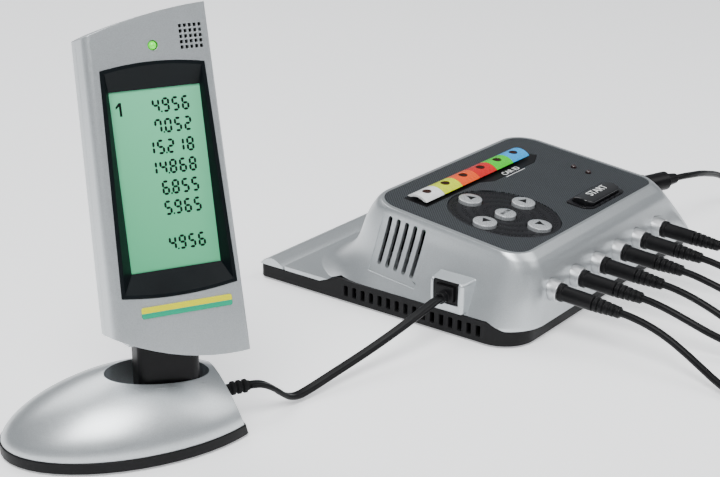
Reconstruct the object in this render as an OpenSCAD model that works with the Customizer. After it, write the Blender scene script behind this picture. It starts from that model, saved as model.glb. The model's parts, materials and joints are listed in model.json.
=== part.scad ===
// Two-unit track controller: a control base with six hand-controller sockets
// and a lap display on a tilting stand, joined by a flat link cord.
// Millimetres. Origin under the middle of the control base, +Z up,
// +Y towards the track, +X towards the START key.

/* [Control base] */
// Width of the base along the track edge
base_w = 175; // [165:1:212]
// Depth of the base's tray, front to back
base_d = 147; // [140:1:178]
// Thickness of the tray and top shell walls
wall = 2.2; // [1.6:0.1:3]
// Height of the tray's wall at the sides
tray_side_h = 11.5; // [9:0.5:12]
// Height of the tray's wall along the front
tray_front_h = 8; // [6:0.5:9]
// Height of the tray's wall under the track ledge
tray_ledge_h = 7.5; // [6:0.5:8]
// Height of the track ledge's top
ledge_h = 9.5; // [9:0.5:11]
// Width of the rounded strip on the track edge
strip_w = 15; // [10:0.5:20]
// Width of one slot in the tray's vent row
tray_vent_w = 2.2; // [1.5:0.1:3]
// Width of one slot in the side vent
side_vent_w = 2.2; // [1.5:0.1:3]

/* [Control panel] */
// Place of the panel's middle across the base
panel_x = -10; // [-14:0.5:-6]
// Width of the panel
panel_w = 128; // [120:1:134]
// Length of the panel, front to back
panel_l = 81; // [78:1:84]
// Thickness of the panel
panel_t = 1.6; // [1.2:0.1:2]
// Height of the panel's front edge
panel_z = 40.6; // [38:0.2:49]
// Slope of the panel
panel_tilt = 6.6; // [4:0.2:9]
// Setback of the panel's front edge from the tray's front
panel_setback = 7.5; // [6:0.5:10]

/* [Keys] */
// Travel of every key
key_travel = 1; // [0.6:0.1:1.2]
// Gap around every key
key_gap = 0.35; // [0.25:0.05:0.5]
// Diameter of an arrow key
arrow_d = 11.2; // [9:0.1:13.5]
// Diameter of the enter key
enter_d = 10; // [8:0.1:12]
// Spacing of the car keys
car_pitch = 15.2; // [14.5:0.1:15.6]
// Depth of a car key, front to back
car_depth = 11; // [9:0.5:12]
// Width of the start key
start_w = 30; // [25:0.5:33]

/* [Sockets and plugs] */
// Spacing of the hand-controller sockets
jack_pitch = 20; // [16.5:0.5:24]
// Height of the sockets' rims
jack_z = 22.4; // [21:0.2:24]
// Outer diameter of a socket's collar
collar_d = 9.8; // [8.2:0.1:11.8]
// Diameter of the plug's contact pin
plug_pin_d = 3.5; // [2.9:0.1:4.2]
// Radial clearance of a plug's pin in its socket
pin_clear = 0.05; // [0.02:0.01:0.1]
// Droop of the sockets below level
jack_droop = 4; // [0:1:6]
// Width of the modular link plug
link_plug_w = 9.6; // [8:0.1:11.4]

/* [Display] */
// Place of the stand across the base's width
display_x = -226; // [-250:1:-220]
// Place of the stand along the base's depth
display_y = 3; // [-6:1:12]
// Turn of the display about the vertical
display_yaw = -28.7; // [-32:0.1:-25]
// Lean of the screen from upright at rest
screen_lean = 15.6; // [12:0.2:18]
// Width of the screen
screen_w = 34.4; // [30:0.2:36.8]
// Height of the screen
screen_h = 66.6; // [60:0.2:71]
// Wall of the display head's shells
head_wall = 1.8; // [1.4:0.1:2.2]
// Diameter of the tilt pin
tilt_pin_d = 4; // [3.4:0.1:4.8]
// Radial clearance of the tilt pin in the neck
tilt_clear = 0.05; // [0.02:0.01:0.1]
// Width of the neck
neck_w = 24.5; // [22:0.5:27]
// Depth of the neck
neck_d = 12.5; // [11:0.5:13]
// Half length of the stand's oval
stand_a = 52.5; // [48:0.5:58]
// Half depth of the stand's oval
stand_b = 32; // [29:1:38]
// Height of the stand's black base
stand_base_h = 5.5; // [5:0.5:7]
// Height of the stand's dome above its base
dome_h = 24.5; // [22:0.5:26]

/* [Hidden] */

// Small gaps and sizes shared by several pieces
seat_gap = 0.1;
foot_h = 1;          // the trays stand this far above the table
foot_r = 5;
foot_sink = 0.8;     // how deep a rubber foot sits in its recess
far = 400;           // longer than anything that is cut

// Levels of the base
half_w = base_w / 2;
half_d = base_d / 2;
tray_floor_z = foot_h + wall;
strip_y = half_d - strip_w;
strip_crown = 4;
tray_step_front_y = -half_d + 7.5;
tray_step_rear_y = strip_y - 22.5;
side_vent_lean = 8;
side_vent_y = -6.4;
side_vent_z = 32.5;
side_vent_pitch = 4.7;
side_vent_l = 23;

// The panel's own frame: its front edge in the middle, x across, y up the slope
panel_y = -half_d + panel_setback;
panel_rear_y = panel_y + panel_l * cos(panel_tilt);
rim = 3.2;
seat_w = 4;          // width of the ledge that the panel lies on
panel_r = [9, 8, 12, 14];

// The box above the ledge, from its rim down to its foot
rim_box = [panel_x - panel_w / 2 - rim, panel_x + panel_w / 2 + rim, panel_y - rim, panel_rear_y + rim];
foot_box = [-half_w + 0.2, half_w - 1.5, -half_d - 2.5, strip_y - 1.5];
rim_r = [12, 10, 15, 17];
foot_corner_r = [20, 11, 32, 42];
// Each level: height, share of the panel's slope, spread at the sides, front and rear
box_levels = [
    [5, 0, 1, 1, 1],
    [ledge_h, 0, 1, 1, 1],
    [14, 0, 0.84, 0.97, 0.70],
    [22.7, 0.15, 0.52, 0.88, 0.39],
    [panel_z - 7.6, 0.55, 0.18, 0.57, 0.19],
    [panel_z - 3.1, 0.9, 0.05, 0.25, 0.06],
    [panel_z - 1.2, 1, 0, 0, 0],
    [panel_z + 0.3, 1, -0.05, -0.24, -0.04]];

// Keys, in the panel's frame
key_foot = -4.2;             // underside of every key
switch_top = key_foot - key_travel - 0.4;
board_top = -9.4;
board_t = 1.6;
car_y = 65;
car_foot = key_travel + 0.3;   // underside of a car key's cap above the panel
car_edge = 0.2;
car_rise = 2;
car_skin = 1.2;
car_crown = car_foot + car_edge + car_rise;
car_stem = [8, 3];
car_count = 6;
pad_centre = [-29.4, 30];
pad_half = [24.5, 27.5];
pad_top = -0.5;
pad_t = panel_t + pad_top;
arrow_out = [16.7, 19.2];
arrow_rise = 1.5;
flange = 0.9;
start_centre = [22.5, 10.4];
start_d = 10.2;
start_rise = 3.4;
start_frame = 3;
light_spots = [[47.5, 37.4], [47, 28.6]];
light_r = 1.5;

// Sockets on the base
jack_count = 6;
jack_y = -half_d - 5.8;
jack_bore_r = plug_pin_d / 2 + pin_clear;
plug_pin_l = 14;
plug_barrel = 17;
plug_l = 30.2;
link_y = -38;
link_z = 21.4;
link_x = -half_w - 2.1;
link_hole = [10.4, 13.2];
link_plug_h = 6.8;
link_boss = [16.4, 17.6];
dc_y = -50;
dc_z = 31;
dc_x = 65;
dc_turn = -20;

// Display frames
lean_origin = [4.1, -14.5, 72];      // middle of the screen's lower edge, in the stand's frame
tilt_axis = [0, -6.75, 48];         // in the stand's frame
neck_x = 0.5;
neck_side_gap = 0.4;
ear_t = 4;
ear_r = 6.5;
pocket_wall = 1.6;
well_centre = [-2.8, -4.6];
well_half = [20.7, 10.6];
well_floor_z = 16;
well_wall = 2;
stand_cx = -11;
stand_end = 27.5;
stand_end_lean = 16;
dome_wall = 2;
dome_power = 1.25;
dome_lean = -2.5;
grommet_at = [24.4, -8, 14.5];
grommet_out = 9.1;
split_y = 4;                       // where the head's two shells meet
head_front_y = -4;

// Cords: the points of each route, chosen by hand
link_cord_w = 5;
link_cord_t = 2.6;
link_route = [[-200.4, -20.1, 14.5], [-196.5, -22, 13.9], [-193, -23.4, 12], [-189.5, -24.3, 9.2],
    [-186.5, -24.9, 6.4], [-183, -25.5, 4], [-178.5, -26.2, 2.8], [-173, -27, 3.2],
    [-165, -28.2, 4.6], [-157, -29.4, 6.1], [-148, -30.8, 7.8], [-139, -32.4, 9.8],
    [-130, -34.2, 12.2], [-121, -36, 14.8], [-112, -37.3, 17.2], [-104, -38, 19],
    [-98.5, -38, 19.8], [-94.1, -38, 19.9]];
lead_d = 3.4;
// share of the sideways shift to the coil, y, z
lead_drop = [[0, -109.4, 20.3], [0, -114, 19.8], [0, -122, 18.2], [0.03, -131, 15.4],
    [0.12, -140, 11.8], [0.28, -149, 8.2], [0.48, -158, 5], [0.68, -167, 2.8],
    [0.86, -176, 1.8], [0.97, -184, 1.7], [1, -190, 1.7], [1, -195.7, 1.7]];
lead_pass = [[1, -203, 1.7], [1, -212, 1.7], [1, -221, 1.7], [1, -230, 1.7], [1, -240, 1.7],
    [1, -249.7, 1.7]];
lead_tail = [[2.6, 23.8, 7.1], [-2.6, 23.5, 8], [-7.3, 21.7, 9.1], [-10.9, 18.5, 10.1],
    [-13, 14.6, 10.7], [-13.6, 10.2, 10.95]];
lead_coil_r = 18.7;                // middle of the turns
lead_coil_cols = 4;
coil_rows = 2;
coil_a_y = -205;
coil_b_y = -259;
coil_x = [-50, -45.3, 7, 11.7, 64, 68.7];
connector_l = 32;
connector_r = 4.1;
power_d = 3.4;
power_route = [[91.7, -59.7, 31], [97, -61.2, 30.8], [105, -62.6, 29.8], [115, -63.2, 28],
    [126, -63, 25], [137, -62.6, 21.6], [148, -63.5, 17], [159, -67.5, 11.5],
    [167.5, -75, 6.3], [172, -85, 2.9], [173.2, -97, 1.7], [171.8, -108.8, 1.7]];
power_tail = [[172, -131.2, 5.2], [170.6, -141, 3.6], [166.5, -151, 2.6], [160, -160, 3.4],
    [154, -166.5, 6], [150.8, -172, 8.6], [150, -176, 9.5]];
power_coil_at = [142, -120];
power_coil_r = 21.5;
power_coil_cols = 6;
adaptor_box = [130, 170, -240, -194];
adaptor_h = 27;

// ---------- shared outlines and solids ----------

// One quarter turn of points
function corner(x, y, r, from, n) =
    [for (i = [0:n]) [x + r * cos(from + 90 * i / n), y + r * sin(from + 90 * i / n)]];

// A rectangle with its own radius at each corner: front left, front right, rear right, rear left
function plan(x0, x1, y0, y1, r, n = 8) = concat(
    corner(x0 + r[0], y0 + r[0], r[0], 180, n),
    corner(x1 - r[1], y0 + r[1], r[1], 270, n),
    corner(x1 - r[2], y1 - r[2], r[2], 0, n),
    corner(x0 + r[3], y1 - r[3], r[3], 90, n));

function oval(c, h, n = 48) =
    [for (i = [0:n - 1]) [c.x + h.x * cos(360 * i / n), c.y + h.y * sin(360 * i / n)]];

// Skins a stack of rings that hold the same number of points
module skin(rings) {
    n = len(rings[0]);
    last = (len(rings) - 1) * n;
    sides = [for (j = [0:len(rings) - 2], i = [0:n - 1], half = [0, 1])
        let (a = j * n + i, b = j * n + (i + 1) % n)
        half == 0 ? [a, a + n, b + n] : [a, b + n, b]];
    points = [for (ring = rings) each ring];
    faces = concat([[for (i = [0:n - 1]) i]], sides, [[for (i = [n - 1:-1:0]) last + i]]);
    polyhedron(points = points, faces = faces);
}

function unit(v) = v / norm(v);
function along(path, i) = unit(path[min(i + 1, len(path) - 1)] - path[max(i - 1, 0)]);

// One ring of a cord: half width sideways, half thickness upwards
function cord_ring(path, i, half_w, half_t) =
    let (t = along(path, i), s = unit(cross([0, 0, 1], t)), u = cross(t, s))
    [for (k = [0:7]) path[i] + half_w * cos(45 * k) * s + half_t * sin(45 * k) * u];

module cord(path, w, t) {
    skin([for (i = [0:len(path) - 1]) cord_ring(path, i, w / 2, t / 2)]);
}

module coil(centre, r, d, cols) {
    translate([centre.x, centre.y, 0])
        rotate_extrude($fn = 48)
            translate([r - cols * d / 2, 0])
                square([cols * d, coil_rows * d]);
}

module slot(l, w, h) {
    for (s = [-1, 1]) translate([0, s * (l - w) / 2, 0]) cylinder(r = w / 2, h = h, center = true, $fn = 24);
    cube([w, l - w, h], center = true);
}

module screw(l, r, head_r) {
    cylinder(r = head_r, h = 1.8, $fn = 32);
    translate([0, 0, 1.8]) cylinder(r = r, h = l - 1.8, $fn = 24);
}

// ---------- frames ----------

module on_panel() {
    translate([panel_x, panel_y, panel_z]) rotate([panel_tilt, 0, 0]) children();
}

function jack_x(i) = panel_x + (i - (jack_count - 1) / 2) * jack_pitch;

// Socket i's frame: its rim's middle, z outwards
module at_jack(i) {
    translate([jack_x(i), jack_y, jack_z]) rotate([90 + jack_droop, 0, 0]) children();
}

// The link socket's frame: x up, z outwards
module at_link() {
    translate([link_x, link_y, link_z]) rotate([0, -90, 0]) children();
}

module at_dc() {
    translate([dc_x, dc_y, dc_z]) rotate([0, 90, dc_turn]) children();
}

module at_stand() {
    translate([display_x, display_y, 0]) rotate([0, 0, display_yaw]) children();
}

// The head's frame: x across the screen, y into the head, z up the screen
module at_head() {
    at_stand() translate(lean_origin) rotate([-screen_lean, 0, 0]) children();
}

// ---------- base shells ----------

function box_ring(level, inset, drop) =
    let (s = level[2],
        x0 = rim_box[0] + (foot_box[0] - rim_box[0]) * s + inset,
        x1 = rim_box[1] + (foot_box[1] - rim_box[1]) * s - inset,
        y0 = rim_box[2] + (foot_box[2] - rim_box[2]) * level[3] + inset,
        y1 = rim_box[3] + (foot_box[3] - rim_box[3]) * level[4] - inset,
        r = [for (k = [0:3]) max(2, rim_r[k] + (foot_corner_r[k] - rim_r[k]) * max(0, s) - inset)])
    [for (p = plan(x0, x1, y0, y1, r))
        [p.x, p.y, level[0] - drop + level[1] * tan(panel_tilt) * (p.y - panel_y)]];

module box_solid(inset) {
    skin([for (i = [0:len(box_levels) - 1])
        box_ring(box_levels[i], inset, inset == 0 ? 0 : i == 0 ? 2 : i == 1 ? 0 : inset)]);
}

// Everything below the line where the shells part
module below_split() {
    rotate([90, 0, 90])
        linear_extrude(height = far, center = true)
            polygon([[-far, -5], [-far, tray_front_h], [tray_step_front_y, tray_front_h],
                [tray_step_front_y + 8, tray_side_h], [tray_step_rear_y - 10, tray_side_h],
                [tray_step_rear_y, tray_ledge_h], [far, tray_ledge_h], [far, -5]]);
}

boss_spots = [[-half_w + 10.5, -half_d + 17.5], [half_w - 15.5, -half_d + 17.5],
    [-half_w + 12.5, 22], [half_w - 17.5, 22]];
boss_split_z = 14;
foot_spots = [[-64, -half_d + 11.5], [64, -half_d + 11.5], [-half_w + 11.5, half_d - 11.5],
    [half_w - 11.5, half_d - 11.5], [0, 0]];

module base_tray() {
    color([0.06, 0.06, 0.065]) difference() {
        union() {
            difference() {
                intersection() {
                    translate([0, 0, foot_h]) linear_extrude(height = 20)
                        polygon(plan(-half_w, half_w, -half_d, half_d, [16, 12, 3, 3]));
                    below_split();
                }
                translate([0, 0, tray_floor_z]) linear_extrude(height = 20)
                    polygon(plan(-half_w + wall, half_w - wall, -half_d + wall, half_d - wall,
                        [14, 10, 2, 2]));
            }
            for (p = boss_spots) translate([p.x, p.y, foot_h])
                cylinder(r = 4.6, h = boss_split_z - foot_h - seat_gap, $fn = 40);
        }
        for (p = boss_spots) translate([p.x, p.y, 0]) {
            cylinder(r = 3.2, h = 5, $fn = 32);
            cylinder(r = 1.7, h = 20, $fn = 32);
        }
        for (p = foot_spots) translate([p.x, p.y, 0])
            cylinder(r = foot_r + seat_gap, h = foot_h + foot_sink, $fn = 40);
        for (i = [0:15]) translate([-half_w - 1, 20 - 4.95 * i - tray_vent_w / 2, 3.8])
            cube([wall + 1.5, tray_vent_w, 5]);
    }
}

module top_shell() {
    color([0.70, 0.73, 0.75]) difference() {
        union() {
            difference() {
                union() {
                    box_solid(0);
                    translate([0, 0, 5]) linear_extrude(height = ledge_h - 5)
                        polygon(plan(-half_w, half_w, 10, strip_y - seat_gap, [1, 1, 1, 1], 2));
                    at_link() translate([-link_boss.x / 2 - 1.2, -link_boss.y / 2, -15])
                        cube([link_boss.x, link_boss.y, 15]);
                }
                box_solid(wall);
                translate([0, 0, 4]) linear_extrude(height = ledge_h - 4 - 1.8)
                    polygon(plan(-half_w + wall, half_w - wall, -10, strip_y - wall, [1, 1, 1, 1], 2));
                on_panel() {
                    translate([0, 0, -panel_t - seat_gap]) linear_extrude(height = 10)
                        polygon(panel_outline(seat_gap));
                    translate([0, 0, -20]) linear_extrude(height = 30)
                        polygon(panel_outline(-seat_w));
                }
            }
            intersection() {
                for (p = boss_spots) translate([p.x, p.y, boss_split_z])
                    cylinder(r = 3.6, h = 14, $fn = 40);
                box_solid(0);
            }
        }
        below_split();
        for (p = boss_spots) translate([p.x, p.y, 5]) cylinder(r = 1.5, h = 17, $fn = 32);
        for (p = boss_spots) translate([p.x, p.y, 5])
            cylinder(r = 4.8, h = boss_split_z - 5, $fn = 40);
        for (i = [0:jack_count - 1]) at_jack(i) translate([0, 0, -12])
            cylinder(r = collar_d / 2 + seat_gap, h = 20, $fn = 40);
        at_link() translate([-link_hole.x / 2 - seat_gap, -link_hole.y / 2 - seat_gap, -20])
            cube([link_hole.x + 2 * seat_gap, link_hole.y + 2 * seat_gap, 30]);
        at_dc() translate([0, 0, -12]) cylinder(r = 5.6 + seat_gap, h = 40, $fn = 40);
        for (i = [-2:2]) translate([-half_w + 8, side_vent_y - i * side_vent_pitch,
            side_vent_z - i * side_vent_pitch * tan(panel_tilt)]) rotate([90, 0, 90])
            translate([0, 0, -5]) rotate([0, 0, side_vent_lean]) slot(side_vent_l, side_vent_w, 26);
    }
}

function panel_outline(grow) =
    plan(-panel_w / 2 - grow, panel_w / 2 + grow, -grow, panel_l + grow,
        [for (r = panel_r) r + grow]);

module track_edge_strip() {
    chord = strip_w - seat_gap;
    r = (chord * chord / 4 + strip_crown * strip_crown) / (2 * strip_crown);
    color([0.66, 0.69, 0.71])
        translate([0, strip_y + seat_gap + chord / 2, tray_ledge_h])
            rotate([90, 0, 90])
                linear_extrude(height = base_w, center = true)
                    intersection() {
                        translate([0, strip_crown - r]) circle(r = r, $fn = 120);
                        translate([-chord / 2, 0]) square([chord, strip_crown + 1]);
                    }
}

// ---------- panel and keys ----------

car_row_x = -5.4;
function car_x(i) = (i - (car_count - 1) / 2) * car_pitch + car_row_x;
car_left = car_x(0) - car_pitch / 2 - 1;
car_right = car_x(car_count - 1) + car_pitch / 2 + 1;
car_front = car_y - car_depth / 2 - 1;
car_back = car_y + car_depth / 2 + 1;

// The black zone under the car keys, with its pointed end by the label
function car_zone(grow) = [[car_left - grow, car_front - grow], [-8, car_front - grow],
    [0, car_front - 4 - grow], [car_right - 4, car_front - 4 - grow],
    [car_right + 6 + grow, car_front + 0.5], [car_right + 4 + grow, car_front + 5],
    [car_right + grow, car_back + grow], [car_left - grow, car_back + grow]];

function start_zone(grow) = plan(start_centre.x - start_w / 2 - start_frame - grow,
    start_centre.x + start_w / 2 + start_frame - 0.6 + grow,
    start_centre.y - start_d / 2 - 1.6 - grow, start_centre.y + start_d / 2 + 1.6 + grow,
    [6, 3, 5, 2]);

module control_panel() {
    color([0.16, 0.17, 0.18]) on_panel() difference() {
        translate([0, 0, -panel_t]) linear_extrude(height = panel_t) polygon(panel_outline(0));
        translate([0, 0, -5]) linear_extrude(height = 10) {
            polygon(car_zone(seat_gap));
            polygon(oval(pad_centre, pad_half + [seat_gap, seat_gap]));
            polygon(start_zone(seat_gap));
        }
        for (p = light_spots) translate([p.x, p.y, -5])
            cylinder(r = light_r + seat_gap, h = 10, $fn = 24);
    }
}

module car_key_surround() {
    color([0.05, 0.05, 0.055]) on_panel() difference() {
        translate([0, 0, -panel_t]) linear_extrude(height = panel_t) polygon(car_zone(0));
        for (i = [0:car_count - 1])
            translate([car_x(i) - car_stem.x / 2 - key_gap, car_y - car_stem.y / 2 - key_gap, -5])
                cube([car_stem.x + 2 * key_gap, car_stem.y + 2 * key_gap, 10]);
    }
}

arrow_spots = [[0, arrow_out.y], [0, -arrow_out.y], [-arrow_out.x, 0], [arrow_out.x, 0]];
enter_spot = [-1.4, -1.4];

module keypad_surround() {
    color([0.05, 0.05, 0.055]) on_panel() {
        difference() {
            translate([0, 0, pad_top - pad_t]) linear_extrude(height = pad_t)
                polygon(oval(pad_centre, pad_half));
            for (p = arrow_spots) translate([pad_centre.x + p.x, pad_centre.y + p.y, -5])
                cylinder(r = arrow_d / 2 + key_gap, h = 10, $fn = 48);
            translate([pad_centre.x + enter_spot.x, pad_centre.y + enter_spot.y, -5])
                cylinder(r = enter_d / 2 + key_gap, h = 10, $fn = 48);
        }
        difference() {
            translate([0, 0, -panel_t]) linear_extrude(height = panel_t + 0.6) polygon(start_zone(0));
            translate([0, 0, -5]) linear_extrude(height = 10) polygon(start_outline(key_gap));
        }
    }
}

function start_outline(grow) = plan(start_centre.x - start_w / 2 - grow, start_centre.x + start_w / 2 + grow,
    start_centre.y - start_d / 2 - grow, start_centre.y + start_d / 2 + grow,
    [4 + grow, 2.5 + grow, 4 + grow, 1.5 + grow]);

module car_key(i, paint) {
    r = (car_depth * car_depth / 4 + car_rise * car_rise) / (2 * car_rise);
    color(paint) on_panel() translate([car_x(i), car_y, 0]) {
        rotate([90, 0, 90]) linear_extrude(height = car_pitch - 0.3, center = true)
            difference() {
                intersection() {
                    translate([0, car_crown - r]) circle(r = r, $fn = 96);
                    translate([-car_depth / 2, car_foot]) square([car_depth, 9]);
                }
                translate([0, car_crown - r]) circle(r = r - car_skin, $fn = 96);
            }
        translate([-car_stem.x / 2, -car_stem.y / 2, key_foot])
            cube([car_stem.x, car_stem.y, car_crown - car_skin / 2 - key_foot]);
    }
}

module round_key(spot, d, paint) {
    dome = 30;
    color(paint) on_panel() translate([pad_centre.x + spot.x, pad_centre.y + spot.y, 0]) {
        intersection() {
            translate([0, 0, key_foot + flange]) cylinder(r = d / 2, h = arrow_rise - key_foot - flange, $fn = 64);
            translate([0, 0, arrow_rise - dome]) sphere(r = dome, $fn = 96);
        }
        translate([0, 0, key_foot]) cylinder(r = d / 2 + flange, h = flange, $fn = 64);
    }
}

module start_key() {
    r = 12;
    color([0.07, 0.07, 0.075]) on_panel() {
        intersection() {
            translate([0, 0, key_foot]) linear_extrude(height = start_rise - key_foot)
                polygon(start_outline(0));
            translate([start_centre.x, start_centre.y, start_rise - r]) rotate([0, 90, 0])
                cylinder(r = r, h = start_w + 2, center = true, $fn = 96);
        }
    }
}

module status_lights() {
    color([0.10, 0.03, 0.03]) on_panel() for (p = light_spots) translate([p.x, p.y, -3]) {
        cylinder(r = light_r, h = 3, $fn = 24);
        translate([0, 0, 3]) intersection() {
            sphere(r = light_r, $fn = 24);
            translate([0, 0, 1]) cube([4, 4, 2], center = true);
        }
    }
}

key_spots = concat([for (i = [0:car_count - 1]) [car_x(i), car_y]],
    [for (p = arrow_spots) pad_centre + p], [pad_centre + enter_spot], [start_centre]);

module key_switches() {
    color([0.2, 0.2, 0.22]) on_panel() for (p = key_spots) translate([p.x, p.y, board_top]) {
        translate([-3, -3, 0]) cube([6, 6, 2.4]);
        translate([0, 0, 2.4]) cylinder(r = 1.7, h = switch_top - board_top - 2.4, $fn = 24);
    }
}

module main_board() {
    color([0.05, 0.28, 0.14]) on_panel() translate([-55, 3.5, board_top - board_t]) cube([110, 72, board_t]);
}

module heat_sink() {
    color([0.62, 0.63, 0.65]) translate([-half_w + 22, -22, tray_floor_z]) {
        cube([2.4, 30, 20]);
        for (i = [0:6]) translate([-5, 4.6 * i, 0]) cube([5, 1.4, 20]);
    }
}

// ---------- sockets, plugs and leads ----------

module throttle_sockets() {
    color([0.86, 0.87, 0.88]) for (i = [0:jack_count - 1]) at_jack(i) difference() {
        union() {
            translate([0, 0, -8]) cylinder(r = collar_d / 2, h = 8, $fn = 48);
            translate([-5, -5, -21]) cube([10, 10, 13]);
        }
        translate([0, 0, -19]) cylinder(r = jack_bore_r, h = 20, $fn = 40);
    }
}

module throttle_plugs() {
    color([0.05, 0.05, 0.055]) for (i = [0:jack_count - 1]) at_jack(i) {
        translate([0, 0, -plug_pin_l]) cylinder(r = plug_pin_d / 2, h = plug_pin_l + 1, $fn = 40);
        translate([0, 0, 0.1]) cylinder(r = 4.2, h = 2, $fn = 48);
        translate([0, 0, 2.1]) cylinder(r = 3.6, h = plug_barrel - 2.1, $fn = 48);
        for (k = [0:4]) translate([0, 0, plug_barrel + 0.7 + k * 2.5])
            cylinder(r = 3.5 - 0.2 * k, h = 1.8, $fn = 40);
        translate([0, 0, plug_barrel]) cylinder(r = 2.4, h = plug_l - plug_barrel, $fn = 40);
    }
}

function on_right(i) = i % 2;
function coil_at(i) = [coil_x[i], on_right(i) == 0 ? coil_a_y : coil_b_y];
coil_entry_r = lead_coil_r + (lead_coil_cols - 1) * lead_d / 2;
function lead_end_x(i) = coil_x[i] + (on_right(i) == 0 ? -1 : 1) * coil_entry_r;
lead_start_x = [-60, -40, -20, 0, 20, 40];
function lead_route(i) =
    [for (p = on_right(i) == 0 ? lead_drop : concat(lead_drop, lead_pass))
        [lead_start_x[i] + (lead_end_x(i) - lead_start_x[i]) * p[0], p[1], p[2]]];
function tail_route(i) = [for (p = lead_tail)
    [coil_at(i).x + (on_right(i) == 0 ? 1 : -1) * p.x, coil_at(i).y + p.y, p.z]];

module throttle_lead(i) {
    color([0.06, 0.06, 0.065]) {
        cord(lead_route(i), lead_d, lead_d);
        cord(tail_route(i), lead_d, lead_d);
    }
}

module lead_coil(i) {
    color([0.06, 0.06, 0.065]) coil(coil_at(i), lead_coil_r, lead_d, lead_coil_cols);
}

module lead_connectors() {
    color([0.08, 0.08, 0.085]) for (i = [0:jack_count - 1]) {
        tail_end = tail_route(i)[len(lead_tail) - 1];
        translate(tail_end) rotate([90, 0, 0]) difference() {
            union() {
                cylinder(r = 2.6, h = 6, $fn = 32);
                translate([0, 0, 6]) cylinder(r = connector_r, h = connector_l - 6, $fn = 48);
            }
            translate([0, 0, connector_l - 14]) cylinder(r = jack_bore_r, h = 20, $fn = 32);
        }
    }
}

module link_socket() {
    color([0.04, 0.04, 0.045]) at_link() difference() {
        translate([-link_hole.x / 2, -link_hole.y / 2, -13]) cube([link_hole.x, link_hole.y, 12.6]);
        translate([-link_plug_h / 2 - 0.2, -link_plug_w / 2 - 0.2, -11.2])
            cube([link_plug_h + 0.4, link_plug_w + 0.4, 14]);
    }
}

module link_plug() {
    color([0.05, 0.05, 0.055]) at_link() {
        translate([-link_plug_h / 2, -link_plug_w / 2, -11]) cube([link_plug_h, link_plug_w, 12.4]);
        translate([-1.5, 0, 1]) cylinder(r = 2.7, h = 3.5, $fn = 32);
    }
}

module dc_socket() {
    color([0.05, 0.05, 0.055]) at_dc() difference() {
        translate([0, 0, -12]) cylinder(r = 5.6, h = 18, $fn = 48);
        translate([0, 0, -9]) cylinder(r = 2.85, h = 20, $fn = 32);
    }
}

module dc_plug() {
    color([0.05, 0.05, 0.055]) at_dc() {
        translate([0, 0, -8]) cylinder(r = 2.75, h = 15, $fn = 32);
        translate([0, 0, 6.1]) cylinder(r = 4.9, h = 15, $fn = 48);
        translate([0, 0, 21.1]) cylinder(r1 = 3.6, r2 = 2.6, h = 7.3, $fn = 48);
    }
}

module power_adaptor() {
    x = (adaptor_box[0] + adaptor_box[1]) / 2;
    color([0.06, 0.06, 0.065]) {
        linear_extrude(height = adaptor_h)
            polygon(plan(adaptor_box[0], adaptor_box[1], adaptor_box[2], adaptor_box[3], [5, 5, 5, 5]));
        translate([x, -176, 9.5]) rotate([90, 0, 0]) cylinder(r1 = 2.6, r2 = 4, h = 18.5, $fn = 40);
        for (s = [-1, 1]) translate([x + s * 7, adaptor_box[2] - 15, adaptor_h / 2 - 0.8])
            translate([-3.2, 0, 0]) cube([6.4, 16, 1.6]);
    }
}

module power_lead() {
    color([0.06, 0.06, 0.065]) {
        cord(power_route, power_d, power_d);
        cord(power_tail, power_d, power_d);
    }
}

module link_cord() {
    color([0.06, 0.06, 0.065]) cord(link_route, link_cord_w, link_cord_t);
}

// ---------- display head ----------

// The head's section across the screen, inset by a wall
function head_section(i) = concat(
    [[-23.9, head_front_y + i], [24.2 - i, head_front_y + i], [25 - i, -3.2], [25 - i, -1.8],
        [23.4 - i, 1.2 - 0.4 * i], [20 - 0.6 * i, 4.2 - 0.8 * i], [10 - 0.45 * i, 9.6 - 0.9 * i],
        [-4 - 0.3 * i, 14.6 - 0.95 * i]],
    [for (a = [76:13:180]) [-18.6 + (10 - i) * cos(a), 7.3 + (10 - i) * sin(a)]],
    [for (a = [180:15:255]) [-23.9 + (3.5 - 0.9 * i) * cos(a), -0.5 + (3.5 - 0.9 * i) * sin(a)]]);

function head_top(x) = 93.3 + 0.199 * (x + 1.3) - 0.0031 * pow(x + 1.3, 2);
function head_foot(x) = -31.7 - 0.2745 * (x + 4.6) + 0.00608 * pow(x + 4.6, 2);
function head_outline(i) = concat(
    [for (k = [0:10]) let (x = -29 + 5.4 * k) [x, head_foot(x) + i]],
    [for (k = [10:-1:0]) let (x = -29 + 5.4 * k) [x, head_top(x) - i]]);

// The head narrows upwards: its width and its middle change with height
function head_scale(z) = 0.966 - 0.00074 * z;
function head_middle(z) = -2.67 + 0.0054 * z;
function head_ring(i, z) = [for (p = head_section(i)) [head_middle(z) + head_scale(z) * (p.x + 1.8), p.y, z]];

module head_solid(i) {
    intersection() {
        skin([head_ring(i, -60), head_ring(i, 120)]);
        rotate([90, 0, 0]) linear_extrude(height = 80, center = true) polygon(head_outline(i));
    }
}

module behind_split(from) {
    translate([-100, from, -100]) cube([200, 200, 300]);
}

function tilt_in_head() =
    let (dy = tilt_axis.y - lean_origin.y, dz = tilt_axis.z - lean_origin.z)
    [0, dy * cos(screen_lean) - dz * sin(screen_lean), dy * sin(screen_lean) + dz * cos(screen_lean)];
neck_left = neck_x - neck_w / 2 - lean_origin.x;
neck_right = neck_x + neck_w / 2 - lean_origin.x;
barrel_r = neck_d / 2;

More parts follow.
